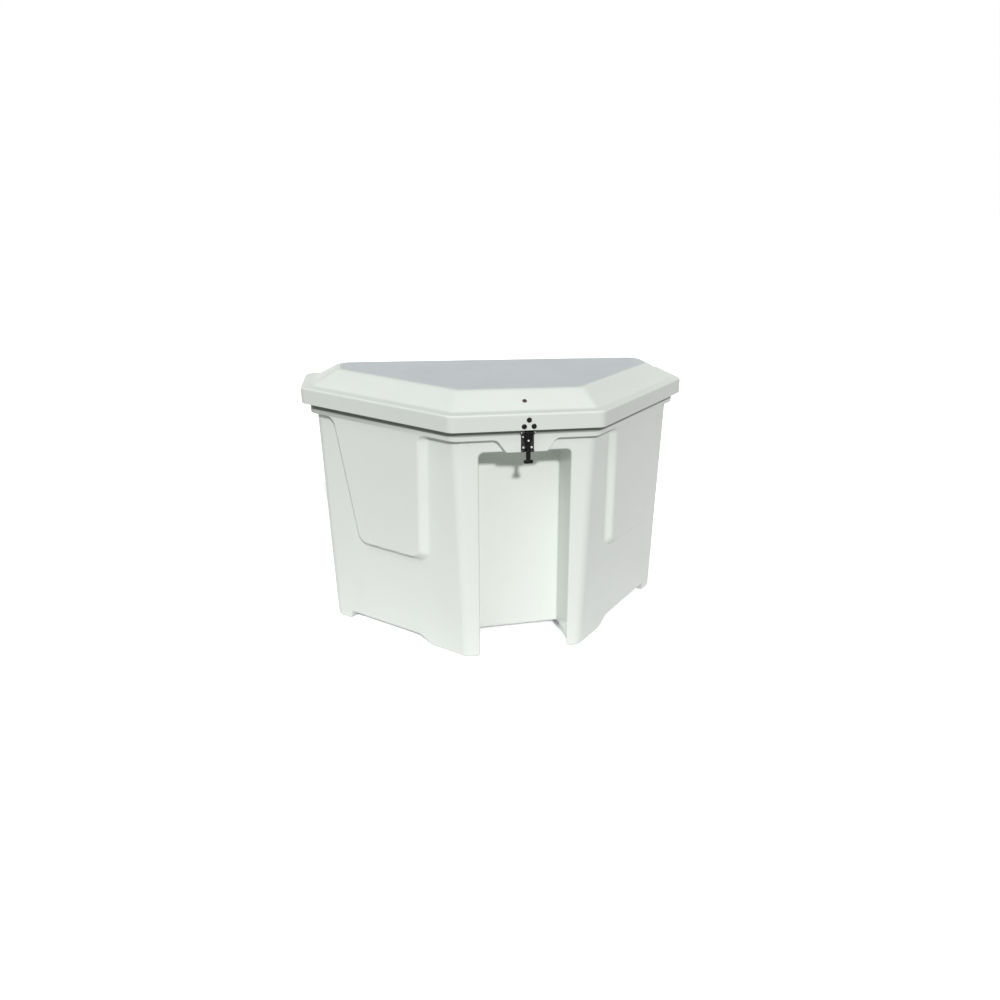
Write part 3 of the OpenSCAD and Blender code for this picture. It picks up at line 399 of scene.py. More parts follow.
def outer_distance(x, y, z):
    """How far a point lies outside the tub's outer skin, its recess and its feet included."""
    x = np.abs(x)
    u = (x - SIDE[0]) * SIDE_DIR[0] + (y - SIDE[1]) * SIDE_DIR[1]
    w = (x - SIDE[0]) * EDGE_OUT[2][0] + (y - SIDE[1]) * EDGE_OUT[2][1]
    walls, upper = walls_distance(x, y, z)
    skin = np.minimum(round_union(walls, upper, 4), round_union(walls, panel_distance(u, w, z), 5))
    skin = np.minimum(skin, round_union(walls, pad_distance(x, y, z), 4))
    skin = round_inter(skin, -recess_distance(x, y, z), 7)
    gap = round_inter(z - FLOOR_Z, -feet_distance(x, y, z, u), 8)
    return round_inter(skin, -gap, 6)


def tub_distance(x, y, z):
    """How far a point lies outside the tub's material."""
    x = np.abs(x)
    skin = outer_distance(x, y, z)
    mouth = np.maximum(plan_distance(x, y, MOUTH_BACK, MOUTH_IN, MOUTH_IN, MOUTH_R), MOUTH_Z - z)
    solid = round_inter(skin, -np.minimum(skin + WALL, mouth), 2)
    anchors = [np.hypot(x - ax, y - ay) for ax, ay in (FRONT_ANCHOR, REAR_ANCHOR)]
    anchors = np.minimum(*anchors) - ANCHOR_R
    drain = np.hypot(x, y - DRAIN_Y) - DRAIN_R
    holes = np.maximum(np.minimum(anchors, drain), z - HOLE_TOP)
    return round_inter(solid, -holes, 0.8)


def slopes(field, p, h=0.05):
    """The direction in which the distance grows, at each point."""
    g = np.empty_like(p)
    for i in range(3):
        a, b = p.copy(), p.copy()
        a[:, i] += h
        b[:, i] -= h
        g[:, i] = (field(*a.T) - field(*b.T)) / (2 * h)
    return g


def directions(field, p):
    """The same, each one long."""
    g = slopes(field, p)
    return g / np.maximum(np.linalg.norm(g, axis=1), 1e-9)[:, None]


def settled(field, p, steps):
    """Points moved on to the surface."""
    for _ in range(steps):
        g = slopes(field, p)
        move = field(*p.T) / np.maximum((g * g).sum(1), 0.2)
        p = p - g * np.clip(move, -2.5, 2.5)[:, None]
    return p


def netted(xs, ys, zs, field):
    """Points and four-sided faces of the surface where a field on a grid changes sign."""
    inside = field < 0
    nx, ny, nz = (n - 1 for n in field.shape)
    count = sum(inside[i:i + nx, j:j + ny, k:k + nz].astype(np.uint8)
                for i in (0, 1) for j in (0, 1) for k in (0, 1))
    cells = np.argwhere((count > 0) & (count < 8))
    index = np.full(count.shape, -1, np.int32)
    index[tuple(cells.T)] = np.arange(len(cells))
    # A cell's point is the mean of where the surface cuts its edges
    total, hits = np.zeros((len(cells), 3)), np.zeros(len(cells))
    for axis in range(3):
        across = [a for a in range(3) if a != axis]
        for step in ((0, 0), (0, 1), (1, 0), (1, 1)):
            a = cells.copy()
            a[:, across] += step
            b = a.copy()
            b[:, axis] += 1
            fa, fb = field[tuple(a.T)].astype(float), field[tuple(b.T)].astype(float)
            cut = (fa < 0) != (fb < 0)
            t = np.where(cut, fa / np.where(cut, fa - fb, 1), 0)
            point = np.stack([at[i] + t * (at[j] - at[i]) for at, i, j in zip((xs, ys, zs), a.T, b.T)], 1)
            total[cut] += point[cut]
            hits += cut
    # A face joins the four cells round each edge that the surface cuts
    quads = []
    for axis in range(3):
        o1, o2 = (axis + 1) % 3, (axis + 2) % 3
        low, high = [slice(1, -1)] * 3, [slice(1, -1)] * 3
        low[axis], high[axis] = slice(0, -1), slice(1, None)
        start = np.argwhere(inside[tuple(low)] != inside[tuple(high)])
        start[:, [o1, o2]] += 1
        ring = []
        for step in ((-1, -1), (0, -1), (0, 0), (-1, 0)):
            c = start.copy()
            c[:, [o1, o2]] += step
            ring.append(index[tuple(c.T)])
        quad = np.stack(ring, 1)
        quads.append(np.where(inside[tuple(start.T)][:, None], quad, quad[:, ::-1]))
    return total / hits[:, None], np.concatenate(quads)


def steps_between(*stops):
    """Grid positions: stops are a start, then pairs of an end and a step."""
    at = [float(stops[0])]
    for end, step in zip(stops[1::2], stops[2::2]):
        n = max(1, round((end - at[-1]) / step))
        at += list(np.linspace(at[-1], end, n + 1)[1:])
    return np.array(at)


def make_tub():
    """The tub, meshed from its distance on a grid that is coarser where the walls run straight."""
    fine, coarse, faces = 3, 9, 186000
    half = steps_between(fine / 2, 699, fine)
    ys = steps_between(-346, 370, fine)
    zs = steps_between(-4.4, 97, fine, 340, coarse, 402, fine, 745, coarse, 905, fine)
    field = np.empty((len(half), len(ys), len(zs)), np.float32)
    for i in range(0, len(half), 24):
        grid = np.meshgrid(half[i:i + 24], ys, zs, indexing="ij")
        field[i:i + 24] = tub_distance(*grid)
    field[field == 0] = 1e-4
    xs = np.concatenate([-half[::-1], half])
    points, quads = netted(xs, ys, zs, np.concatenate([field[::-1], field]))
    obj = mesh_object("Tub_moulding", settled(tub_distance, points, 2), quads)
    fewer = obj.modifiers.new("Fewer faces", "DECIMATE")
    fewer.ratio = min(1.0, faces / (2 * len(quads)))
    made_real(obj)
    mesh = obj.data
    at = read(mesh.vertices, "co", 3, np.float32).astype(float) / MM
    at = settled(tub_distance, at, 4)
    mesh.vertices.foreach_set("co", (at * MM).astype(np.float32).ravel())
    all_smooth(mesh)
    mesh.update()
    middle = shade_by_field(mesh, at, tub_distance)
    inner = outer_distance(*middle.T) < -WALL / 2
    mesh.polygons.foreach_set("material_index", inner.astype(np.int32))
    return obj


def shade_by_field(mesh, at, field):
    """Takes a mesh's corner directions from its field, and returns the middles of its faces."""
    corner = read(mesh.loops, "vertex_index")
    size = read(mesh.polygons, "loop_total")
    face = np.repeat(np.arange(len(size)), size)
    middle = np.stack([np.bincount(face, at[corner, i]) for i in range(3)], 1) / size[:, None]
    # A corner takes the face's own direction where the surface only turns right beside the corner
    near = at[corner] + 0.3 * (middle[face] - at[corner])
    at_point, at_face = directions(field, at)[corner], directions(field, middle)[face]
    far = np.arccos(np.clip((at_point * at_face).sum(1), -1, 1))
    close = np.arccos(np.clip((directions(field, near) * at_face).sum(1), -1, 1))
    normal = np.where((close < 0.3 * far)[:, None], at_face, at_point)
    mesh.normals_split_custom_set([tuple(n) for n in normal])
    return middle


# Lid


def make_lid():
    """The lid's skin as rings, from the middle of its top round the lower edge and back up inside."""
    rise = {e: DOME_RISE / (DOME[e] - DOME_EASE - SHELF_W) for e in DOME}
    top_of_slope = {e: DOME[e] - DOME_EASE for e in DOME}
    middle_z, edge_r, shoulder_z, shoulder_r = 880, LID_WALL / 2, 905, 4
    rings = []

    def dome_ring(inset, z):
        share = min(max((z - SHELF_Z) / DOME_RISE, 0), 1)
        corner = SLOPE_CORNER + (LID_CORNER - SLOPE_CORNER) * share
        rings.append(plan_ring(inset, corner, z, LID_STEPS))

    def skirt_ring(inset, z):
        rings.append(plan_ring(even(inset), LID_CORNER - min(inset, SLOPE_CORNER), z, LID_STEPS))

    # Outside, from the top down
    for k in range(7):
        t = 1 - k / 6
        dome_ring({e: bent(t, top_of_slope[e] - 3 / rise[e], top_of_slope[e] + 2 / rise[e],
                           DOME[e] + 7 + 2 / rise[e]) for e in DOME}, bent(t, TOP_Z - 5, TOP_Z, TOP_Z))
    for z in (950, 935, 922):
        dome_ring({e: SHELF_W + (z - SHELF_Z) / rise[e] for e in DOME}, z)
    for k in range(5):
        t = 1 - k / 4
        dome_ring({e: bent(t, SHELF_W - SKIRT_R, SHELF_W, SHELF_W + 4 / rise[e]) for e in DOME},
                  bent(t, SHELF_Z - 0.2, SHELF_Z, SHELF_Z + 4))
    for a in arc(15):
        skirt_ring(SKIRT_R * (1 - math.sin(a)), SKIRT_TOP - SKIRT_R * (1 - math.cos(a)))
    skirt_ring(0, middle_z)
    # Round the lower edge
    for a in arc(22.5, 180):
        skirt_ring(edge_r * (1 - math.cos(a)), SKIRT_Z + edge_r - edge_r * math.sin(a))
    # Inside, from the lower edge up
    skirt_ring(LID_WALL, middle_z)
    for a in arc(22.5):
        skirt_ring(LID_WALL + shoulder_r * (1 - math.cos(a)), shoulder_z + shoulder_r * math.sin(a))
    skirt_ring(SHELF_W + 2, SHELF_Z - LID_WALL)
    for inwards, z in ((-3, TOP_Z - LID_WALL - 2), (7, TOP_Z - LID_WALL)):
        rings.append(plan_ring({e: DOME[e] + inwards for e in DOME}, LID_CORNER, z, LID_STEPS))
    obj = skinned("Lid_moulding", rings)
    obj.data.polygons.foreach_set("material_index", [lid_finish(face) for face in obj.data.polygons])
    return smooth_shaded(obj)


def lid_finish(face):
    """Which of the lid's materials a face takes: gelcoat 0, lining 1, plateau 2."""
    x, y, z, up = face.center.x / MM, face.center.y / MM, face.center.z / MM, face.normal.z
    if up > 0.9999 and z > TOP_Z - 0.1:
        return 2
    gap = LID_WALL - 0.4
    inside = plan_distance(x, y, gap, gap, gap, 40) < 0
    looks_down = up < 0.2 and not (z > SHELF_Z - 8 and up > 0)
    return 1 if z < SKIRT_Z + 0.2 or (inside and looks_down) else 0


# Finishes


def add_sockets(tree, inputs, outputs):
    """Gives a node group its inputs and outputs, each a name and a kind."""
    for in_out, sockets in (("INPUT", inputs), ("OUTPUT", outputs)):
        for label, kind in sockets.items():
            tree.interface.new_socket(label, in_out=in_out, socket_type=f"NodeSocket{kind}")


def node_group(name, inputs, output):
    """An empty shader group, its tree and its ends. Its output is one number."""
    group = bpy.data.node_groups.new(name, "ShaderNodeTree")
    add_sockets(group, inputs, {output: "Float"})
    start, end = group.nodes.new("NodeGroupInput"), group.nodes.new("NodeGroupOutput")
    return group, Tree(group), start.outputs, end.inputs


class Tree:
    """Short ways to add nodes to a material or a group."""

    def __init__(self, tree):
        self.tree = tree

    def add(self, kind, inputs=None, **settings):
        """A new node with some of its settings and what goes into its sockets."""
        node = self.tree.nodes.new(kind)
        for key, value in settings.items():
            setattr(node, key, value)
        for key, value in (inputs or {}).items():
            self.put(node.inputs[key], value)
        return node

    def put(self, socket, value):
        """Links another node's socket to this one, or gives it a plain value."""
        if isinstance(value, bpy.types.NodeSocket):
            self.tree.links.new(value, socket)
        elif value is not None:
            socket.default_value = value

    def noise(self, vector, scale, detail, roughness=0.5):
        inputs = {"Vector": vector, "Scale": scale, "Detail": detail, "Roughness": roughness}
        return self.add("ShaderNodeTexNoise", inputs).outputs["Fac"]

    def math(self, kind, a, b=0.0, clamp=False):
        return self.add("ShaderNodeMath", {0: a, 1: b}, operation=kind, use_clamp=clamp).outputs[0]

    def times(self, a, b, clamp=False):
        return self.math("MULTIPLY", a, b, clamp)

    def spread(self, value, low, high, out_low=0.0, out_high=1.0):
        """A smooth step from one value to another."""
        inputs = dict(enumerate((value, low, high, out_low, out_high)))
        return self.add("ShaderNodeMapRange", inputs, interpolation_type="SMOOTHSTEP").outputs[0]

    def mixed(self, share, a, b):
        """Colour a with a share of colour b."""
        return self.add("ShaderNodeMix", {0: share, 6: a, 7: b}, data_type="RGBA").outputs[2]

    def bump(self, height, distance, strength, normal=None):
        """A relief, on top of another where one is given."""
        inputs = {"Strength": strength, "Distance": distance, "Height": height, "Normal": normal}
        return self.add("ShaderNodeBump", inputs).outputs["Normal"]

    def stretched(self, vector, scale):
        return self.add("ShaderNodeMapping", {"Vector": vector, "Scale": scale}).outputs["Vector"]

    def parts(self, vector):
        return self.add("ShaderNodeSeparateXYZ", {0: vector}).outputs

    def surface(self, key):
        """What the surface itself tells, such as where it faces."""
        return self.add("ShaderNodeNewGeometry").outputs[key]

    def group(self, group, **values):
        return self.add("ShaderNodeGroup", values, node_tree=group).outputs[0]


def make_dust_group():
    """Dust and dried spray: a share that is larger on faces that look up, and patchy."""
    group, t, start, end = node_group("Dust", {"Position": "Vector", "Amount": "Float"}, "Dust")
    level = t.spread(t.parts(t.surface("Normal"))["Z"], 0.1, 1.0, 0.25, 1.0)
    patches = t.spread(t.noise(start["Position"], 7.0, 5.0, 0.62), 0.38, 0.72)
    specks = t.spread(t.noise(start["Position"], 160.0, 3.0, 0.6), 0.45, 0.8)
    both = t.math("ADD", t.times(patches, 0.75), t.times(specks, 0.25))
    t.put(end["Dust"], t.times(t.times(both, level), start["Amount"], True))
    return group


def make_streak_group():
    """Faint runs where water dries on upright faces."""
    group, t, start, end = node_group("Water marks", {"Position": "Vector"}, "Marks")
    runs = t.spread(t.noise(t.stretched(start["Position"], (26, 26, 1.3)), 1.0, 4.0, 0.6), 0.5, 0.75)
    broken = t.spread(t.noise(start["Position"], 3.0, 2.0), 0.35, 0.65)
    upright = t.spread(t.math("ABSOLUTE", t.parts(t.surface("Normal"))["Z"]), 0.25, 0.6, 1.0, 0.0)
    t.put(end["Marks"], t.times(t.times(runs, broken), upright))
    return group


def make_wear_group():
    """Rubbed edges: a share that is larger along convex edges and broken up."""
    group, t, start, end = node_group("Rubbed edges", {"Position": "Vector"}, "Wear")
    rim = t.spread(t.surface("Pointiness"), 0.52, 0.58)
    broken = t.spread(t.noise(start["Position"], 90.0, 4.0, 0.6), 0.35, 0.62)
    t.put(end["Wear"], t.times(rim, broken, True))
    return group


DUST, STREAKS, WEAR = make_dust_group(), make_streak_group(), make_wear_group()


def new_material(name):
    """A material, its tree, the sockets of its surface and the place on the object."""
    material = bpy.data.materials.new(name)
    material.use_nodes = True
    t = Tree(material.node_tree)
    surface = material.node_tree.nodes["Principled BSDF"]
    return material, t, surface.inputs, t.add("ShaderNodeTexCoord").outputs["Object"]


def rgb(r, g, b):
    return (r, g, b, 1.0)


def with_painted_lip_shade(t, base, at):
    """A colour with painted shade on the tub's lip beneath the lid's skirt, over the whole band towards the
    left end, and a faint painted shade on the skirt itself.
    """
    place = t.parts(at)
    below_skirt = t.spread(place["Z"], 0.8535, 0.854, 1.0, 0.0)
    lip = t.times(t.spread(place["Z"], 0.817, 0.822), below_skirt)
    # Painted shade: the whole lip band darker towards the left end
    left = t.times(lip, t.spread(place["X"], -0.6, -0.25, 1.0, 0.0))
    # Painted shadow of the lid's skirt on the top of the band
    painted_lid_shadow = t.times(t.spread(place["Z"], 0.832, 0.839), below_skirt)
    # Painted shade: the lid's skirt a little darker
    painted_skirt_shade = t.times(t.spread(place["Z"], 0.8545, 0.8575), t.spread(place["Z"], 0.904, 0.911, 1.0, 0.0))
    for share, most, shade_colour in ((left, 0.4, rgb(0.20, 0.21, 0.17)), (painted_lid_shadow, 0.68, rgb(0.10, 0.115, 0.09)),
                              (painted_skirt_shade, 0.1, rgb(0.20, 0.21, 0.18))):
        base = t.mixed(t.times(share, most), base, shade_colour)
    return base


def make_gelcoat(name, colour, shade, roughness, gloss, stipple=0.0):
    """Polished white gelcoat, with the slight ripple of a mould, or with a fine non-skid stipple."""
    material, t, s, at = new_material(name)
    cloud = t.spread(t.noise(at, 2.2, 3.0), 0.3, 0.7)
    dust = t.group(DUST, Position=at, Amount=0.22 if stipple else 0.1)
    marks = t.group(STREAKS, Position=at)
    base = t.mixed(cloud, colour, shade)
    base = t.mixed(t.times(marks, 0.05), base, rgb(0.66, 0.66, 0.60))
    base = t.mixed(dust, base, rgb(0.60, 0.59, 0.54))
    # Painted shade on the tub's lip beneath the lid's skirt and on the skirt itself
    t.put(s["Base Color"], with_painted_lip_shade(t, base, at))
    rough = t.math("ADD", roughness, t.times(dust, 0.5))
    t.put(s["Roughness"], t.math("ADD", rough, t.times(marks, 0.03), True))
    s["Specular IOR Level"].default_value = gloss
    normal = t.bump(t.noise(at, 9.0, 1.0), 0.0006, 0.35)
    normal = t.bump(t.noise(at, 230.0, 2.0), 0.00006, 0.35, normal)
    if stipple:
        cells = t.add("ShaderNodeTexVoronoi", {"Vector": at, "Scale": 420.0}, feature="F1")
        dots = t.spread(cells.outputs["Distance"], 0.15, 0.55, 1.0, 0.0)
        normal = t.bump(dots, 0.00035, stipple, normal)
    t.put(s["Normal"], normal)
    return material


def make_laminate():
    """The inside of a moulding: flat white finish over glass mat, whose strands show through."""
    material, t, s, at = new_material("Inside flow coat")
    strands = t.noise(t.stretched(at, (60, 260, 90)), 1.0, 3.0, 0.6)
    crossed = t.noise(t.stretched(at, (260, 60, 240)), 1.0, 3.0, 0.6)
    mat = t.times(t.math("ADD", strands, crossed), 0.5)
    cloud = t.spread(t.noise(at, 4.0, 4.0), 0.3, 0.7)
    base = t.mixed(cloud, rgb(0.63, 0.645, 0.615), rgb(0.55, 0.56, 0.53))
    base = t.mixed(t.group(DUST, Position=at, Amount=0.35), base, rgb(0.42, 0.40, 0.35))
    t.put(s["Base Color"], base)
    t.put(s["Roughness"], t.spread(mat, 0.3, 0.7, 0.62, 0.45))
    t.put(s["Normal"], t.bump(mat, 0.0012, 0.6))
    return material


def make_metal(name, colour, dark, roughness, brushed=(300, 300, 300), wear=0.0, worn=None):
    """Metal with a fine grain, small stains and, where asked, bare rubbed edges."""
    material, t, s, at = new_material(name)
    grain = t.noise(t.stretched(at, brushed), 1.0, 3.0, 0.6)
    stain = t.spread(t.noise(at, 34.0, 5.0, 0.65), 0.5, 0.78)
    base = t.mixed(t.times(stain, 0.45), colour, dark)
    rough = t.math("ADD", roughness, t.times(stain, 0.22))
    rough = t.math("ADD", rough, t.spread(grain, 0.2, 0.8, -0.05, 0.07), True)
    if wear:
        base = t.mixed(t.times(t.group(WEAR, Position=at), wear), base, worn)
    t.put(s["Base Color"], base)
    t.put(s["Roughness"], rough)
    s["Metallic"].default_value = 1.0
    t.put(s["Normal"], t.bump(grain, 0.00004, 0.5))
    return material


def make_plain(name, colour, other, roughness, grain_scale, depth, dust, wear=0.0, worn=None, gloss=0.5):
    """Rubber, plastic or powder coat: a fine texture, dust, and where asked rubbed edges."""
    material, t, s, at = new_material(name)
    grain = t.noise(at, grain_scale, 3.0, 0.55)
    cloud = t.spread(t.noise(at, 18.0, 4.0, 0.6), 0.35, 0.7)
    base = t.mixed(cloud, colour, other)
    if wear:
        base = t.mixed(t.times(t.group(WEAR, Position=at), wear), base, worn)
    dusty = t.group(DUST, Position=at, Amount=dust)
    t.put(s["Base Color"], t.mixed(dusty, base, rgb(0.30, 0.28, 0.25)))
    rough = t.spread(grain, 0.3, 0.7, roughness - 0.06, roughness + 0.06)
    t.put(s["Roughness"], t.math("ADD", rough, t.times(dusty, 0.3), True))
    s["Specular IOR Level"].default_value = gloss
    t.put(s["Normal"], t.bump(grain, depth, 0.8))
    return material


GELCOAT = make_gelcoat("Polished gelcoat", rgb(0.80, 0.85, 0.775), rgb(0.785, 0.835, 0.762), 0.2, 0.12)
# The plateau is coloured greyer and bluer than the rest of the gelcoat; the blue is a painted reflection of
# the sky on the level top. Its stipple is its own finish.
NON_SKID_PAINTED_SKY = make_gelcoat("Non-skid gelcoat", rgb(0.65, 0.695, 0.70), rgb(0.635, 0.68, 0.685), 0.42, 0.04, 0.7)
LAMINATE = make_laminate()
BROWN_BOLT = make_metal("Browned bolt", rgb(0.065, 0.042, 0.04), rgb(0.038, 0.027, 0.025), 0.36,
                        wear=0.6, worn=rgb(0.19, 0.15, 0.14))

# The material that fills each slot; the mouldings and the browned bolt name their own
FINISH = {
    "gelcoat_inside": LAMINATE,
    "hinge_steel": make_metal("Brushed stainless steel", rgb(0.60, 0.59, 0.57), rgb(0.42, 0.37, 0.31), 0.3,
                              (40, 900, 900)),
    "fastener_steel": make_metal("Stainless screws", rgb(0.56, 0.55, 0.53), rgb(0.35, 0.29, 0.23), 0.26),
    "dark_bolt": make_metal("Black oxide bolts", rgb(0.012, 0.012, 0.012), rgb(0.01, 0.0095, 0.009), 0.25,
                            wear=0.6, worn=rgb(0.13, 0.12, 0.115)),
    "rod_chrome": make_metal("Polished rod", rgb(0.66, 0.66, 0.67), rgb(0.5, 0.49, 0.48), 0.09,
                             (900, 900, 25)),
    "black_metal": make_plain("Black powder coat", rgb(0.009, 0.009, 0.009), rgb(0.013, 0.0125, 0.012), 0.3,
                              500.0, 0.0001, 0.06, 0.5, rgb(0.16, 0.16, 0.17), 0.2),
    "strap_rubber": make_plain("Strap rubber", rgb(0.005, 0.005, 0.005), rgb(0.009, 0.009, 0.0085), 0.34,
                               300.0, 0.0004, 0.02, 0.3, rgb(0.02, 0.02, 0.02), 0.08),
    "seal_rubber": make_plain("Sponge seal", rgb(0.016, 0.016, 0.017), rgb(0.026, 0.026, 0.026), 0.72,
                              900.0, 0.00025, 0.3),
    "bush_plastic": make_plain("Grey nylon", rgb(0.42, 0.425, 0.42), rgb(0.36, 0.365, 0.36), 0.4,
                               600.0, 0.00004, 0.4),
}


# Hardware


def softened(profile, r):
    """A turned profile with its corners rounded."""
    out = [profile[0]]
    for before, p, after in zip(profile, profile[1:], profile[2:]):
        b, q, a = Vector(before), Vector(p), Vector(after)
        near = min(r, (b - q).length * 0.45, (a - q).length * 0.45)
        first, last = q + (b - q).normalized() * near, q + (a - q).normalized() * near
        out += [tuple(bent(t, first, q, last)) for t in (0, 0.25, 0.5, 0.75, 1)]
    return out + [profile[-1]]


def turned_rings(profile, place, steps):
    """Rings of points round an axis. The profile is (height, radius), and place puts +Z on the axis."""
    turns = np.linspace(0, 2 * math.pi, steps, endpoint=False)
    return [[tuple(place @ Vector((radius * math.cos(a), radius * math.sin(a), h))) for a in turns]
            for h, radius in profile]


def lathe(name, profile, place, r, steps=24):
    """A turned piece whose corners are rounded by r."""
    return smooth_shaded(skinned(name, turned_rings(softened(profile, r), place, steps)))


def joined(name, parts):
    """Several pieces as one."""
    bm = bmesh.new()
    for part in parts:
        bm.from_mesh(part.data)
        bpy.data.objects.remove(part)
    return smooth_shaded(bmesh_object(name, bm))


def put(x, y, z):
    """A move to a place in millimetres."""
    return Matrix.Translation((x, y, z))


def turned(angle, axis):
    """A turn by an angle in degrees."""
    return Matrix.Rotation(math.radians(angle), 4, axis)


TO_BACK, TO_FRONT = turned(-90, "X"), turned(90, "X")
TO_RIGHT, TO_LEFT = turned(90, "Y"), turned(-90, "Y")


def make_fastener_tree():
    """Geometry Nodes: one fastener on each point, turned about its axis by a chance amount."""
    tree = bpy.data.node_groups.new("Fasteners on points", "GeometryNodeTree")
    add_sockets(tree, {"Geometry": "Geometry", "Fastener": "Object", "Axis": "Vector", "Turn": "Float",
                       "Seed": "Int", "Finish": "Material"}, {"Geometry": "Geometry"})
    new, link = tree.nodes.new, tree.links.new
    start, end = new("NodeGroupInput"), new("NodeGroupOutput")
    info, spread = new("GeometryNodeObjectInfo"), new("GeometryNodeInstanceOnPoints")
    chance, turn = new("FunctionNodeRandomValue"), new("ShaderNodeVectorMath")
    real, finish = new("GeometryNodeRealizeInstances"), new("GeometryNodeSetMaterial")
    chance.data_type, turn.operation = "FLOAT", "SCALE"
    link(start.outputs["Fastener"], info.inputs["Object"])
    link(start.outputs["Turn"], [i for i in chance.inputs if i.enabled][1])
    link(start.outputs["Seed"], chance.inputs["Seed"])
    link(start.outputs["Axis"], turn.inputs[0])
    link([o for o in chance.outputs if o.enabled][0], turn.inputs["Scale"])
    link(start.outputs["Geometry"], spread.inputs["Points"])
    link(info.outputs["Geometry"], spread.inputs["Instance"])
    link(turn.outputs[0], spread.inputs["Rotation"])
    link(spread.outputs[0], real.inputs[0])
    link(real.outputs[0], finish.inputs[0])
    link(start.outputs["Finish"], finish.inputs["Material"])
    link(finish.outputs[0], end.inputs[0])
    return tree


FASTENERS = make_fastener_tree()


def on_points(name, points, fastener, axis, slot, turn=2 * math.pi, seed=1):
    """A row of the same fastener, made by the tree and then made real."""
    obj = mesh_object(name, points, [])
    nodes = obj.modifiers.new("Fasteners", "NODES")
    nodes.node_group = FASTENERS
    values = {"Fastener": fastener, "Axis": axis, "Turn": turn, "Seed": seed, "Finish": FINISH[slot]}
    for item in FASTENERS.interface.items_tree:
        if item.in_out == "INPUT" and item.name in values:
            nodes[item.identifier] = values[item.name]
    obj.update_tag()
    made_real(obj)
    bpy.data.objects.remove(fastener)
    return smooth_shaded(obj)


def thread(start, end, r, depth=0.35):
    """The profile of a length with a 1 mm thread, below a head."""
    n = max(2, int(end - start))
    step = (end - start) / n
    out = []
    for k in range(n):
        out += [(-start - step * k, r - depth), (-start - step * (k + 0.5), r)]
    return out + [(-end, r - depth)]


def nut(name, r, height, bore, place, chamfer=0.7, steps=48):
    """A hexagon nut: rings up the outside and down the bore."""
    apothem = r * math.cos(math.pi / 6)
    turns = np.linspace(0, 2 * math.pi, steps, endpoint=False)
    hexagon = [min(r - 0.15, apothem / math.cos(a % (math.pi / 3) - math.pi / 6)) for a in turns]
    crown, mouth, inner = [apothem * 0.96] * steps, [bore + 0.4] * steps, [bore] * steps
    levels = [(0, crown), (chamfer, hexagon), (height - chamfer, hexagon), (height, crown), (height, mouth),
              (height - 0.5, inner), (0.5, inner), (0, mouth)]
    rings = [[tuple(place @ Vector((q * math.cos(a), q * math.sin(a), h))) for q, a in zip(radii, turns)]
             for h, radii in levels]
    return skinned(name, rings, loop=True)


# Rubber strap: its pin, its cross handle, how far its rivet and pocket lie below the pin, and its sizes
PIN_Y, PIN_Z, TEE_Z = -356.0, 846.0, 744.5
RIVET_DROP, POCKET_DROP = 27.0, 21.0
EYE_R, EYE_HALF, STEM_HALF, STRAP_HALF_T, TEE_HALF = 6.0, 14.5, 7.5, 3.9, 15.5


def strap_distance(x, y, z):
    """How far a point lies outside the strap: eye, body with a pocket, ribbed stem and cross handle."""
    x, drop, q = np.abs(x), PIN_Z - z, y - PIN_Y
    eye = round_inter(np.hypot(q, drop) - EYE_R, x - EYE_HALF, 1.5)
    t = np.clip((drop - 16) / 20, 0, 1)
    narrow = t * t * (3 - 2 * t)
    half = EYE_HALF - (EYE_HALF - STEM_HALF) * narrow
    ribbed = (drop > 44) & (drop < 92)
    ribs = 0.45 * np.maximum(np.cos((drop - 46) * 2 * math.pi / 6), 0) ** 2 * ribbed
    body = round_inter(x - half, np.abs(q) - STRAP_HALF_T + 0.3 * narrow - ribs, 1.8)
    body = np.maximum(body, np.maximum(drop - 104, -drop))
    pocket = round_inter(round_inter(x - half + 3.6, np.abs(drop - POCKET_DROP) - 9, 2.5), q + 3.1, 0.6)
    body = round_inter(body, -pocket, 0.6)
    rise = z - TEE_Z
    r = np.where(rise < 0, 5.4, 1.8)
    a, b = x - TEE_HALF + r, np.abs(rise) - 5.5 + r
    bar = np.minimum(np.maximum(a, b), 0) + np.hypot(np.maximum(a, 0), np.maximum(b, 0)) - r
    bar = round_inter(bar, np.abs(q) - 5.9, 2.5)
    strap = round_union(round_union(eye, body, 2.0), bar, 3.0)
    return np.maximum(strap, 1.85 - np.hypot(x, drop - RIVET_DROP))


def make_strap(name):
    """The rubber strap, meshed from its distance."""
    xs, ys, zs = np.linspace(-17, 17, 57), np.linspace(-363.5, -348.5, 26), np.linspace(737.4, 853.6, 184)
    field = strap_distance(*np.meshgrid(xs, ys, zs, indexing="ij")).astype(np.float32)
    field[field == 0] = 1e-4
    points, quads = netted(xs, ys, zs, field)
    obj = mesh_object(name, settled(strap_distance, points, 2), quads)
    all_smooth(obj.data)
    return obj


def make_seal(name):
    """The sponge seal on the rim: a bulb with a flat foot."""
    rim_in, back_in, corner, middle_z, steps = 34, 15, 44, 904.35, 20
    rings = []
    for k in range(steps):
        a = 2 * math.pi * k / steps
        c, h = math.cos(a), math.sin(a)
        out = 4 * math.copysign(abs(c) ** 0.75, c)
        up = 4.35 * math.copysign(abs(h) ** (0.8 if h > 0 else 0.35), h)
        gaps = even(rim_in - out)
        gaps["back"] = back_in - out
        rings.append(plan_ring(gaps, corner + out, middle_z + up, 10))
    return smooth_shaded(skinned(name, rings, loop=True))


def screw_profile(head_r, head_h, shank_r, length):
    """A button head with a socket, a plain neck and a thread."""
    return [(head_h - 1.3, 0.05), (head_h - 1.3, head_r * 0.34), (head_h - 0.15, head_r * 0.36),
            (head_h, head_r * 0.45), (head_h * 0.8, head_r * 0.8), (head_h * 0.35, head_r), (0, head_r),
            (0, shank_r), *thread(2.0, length - 0.6, shank_r), (-length, 0.05)]


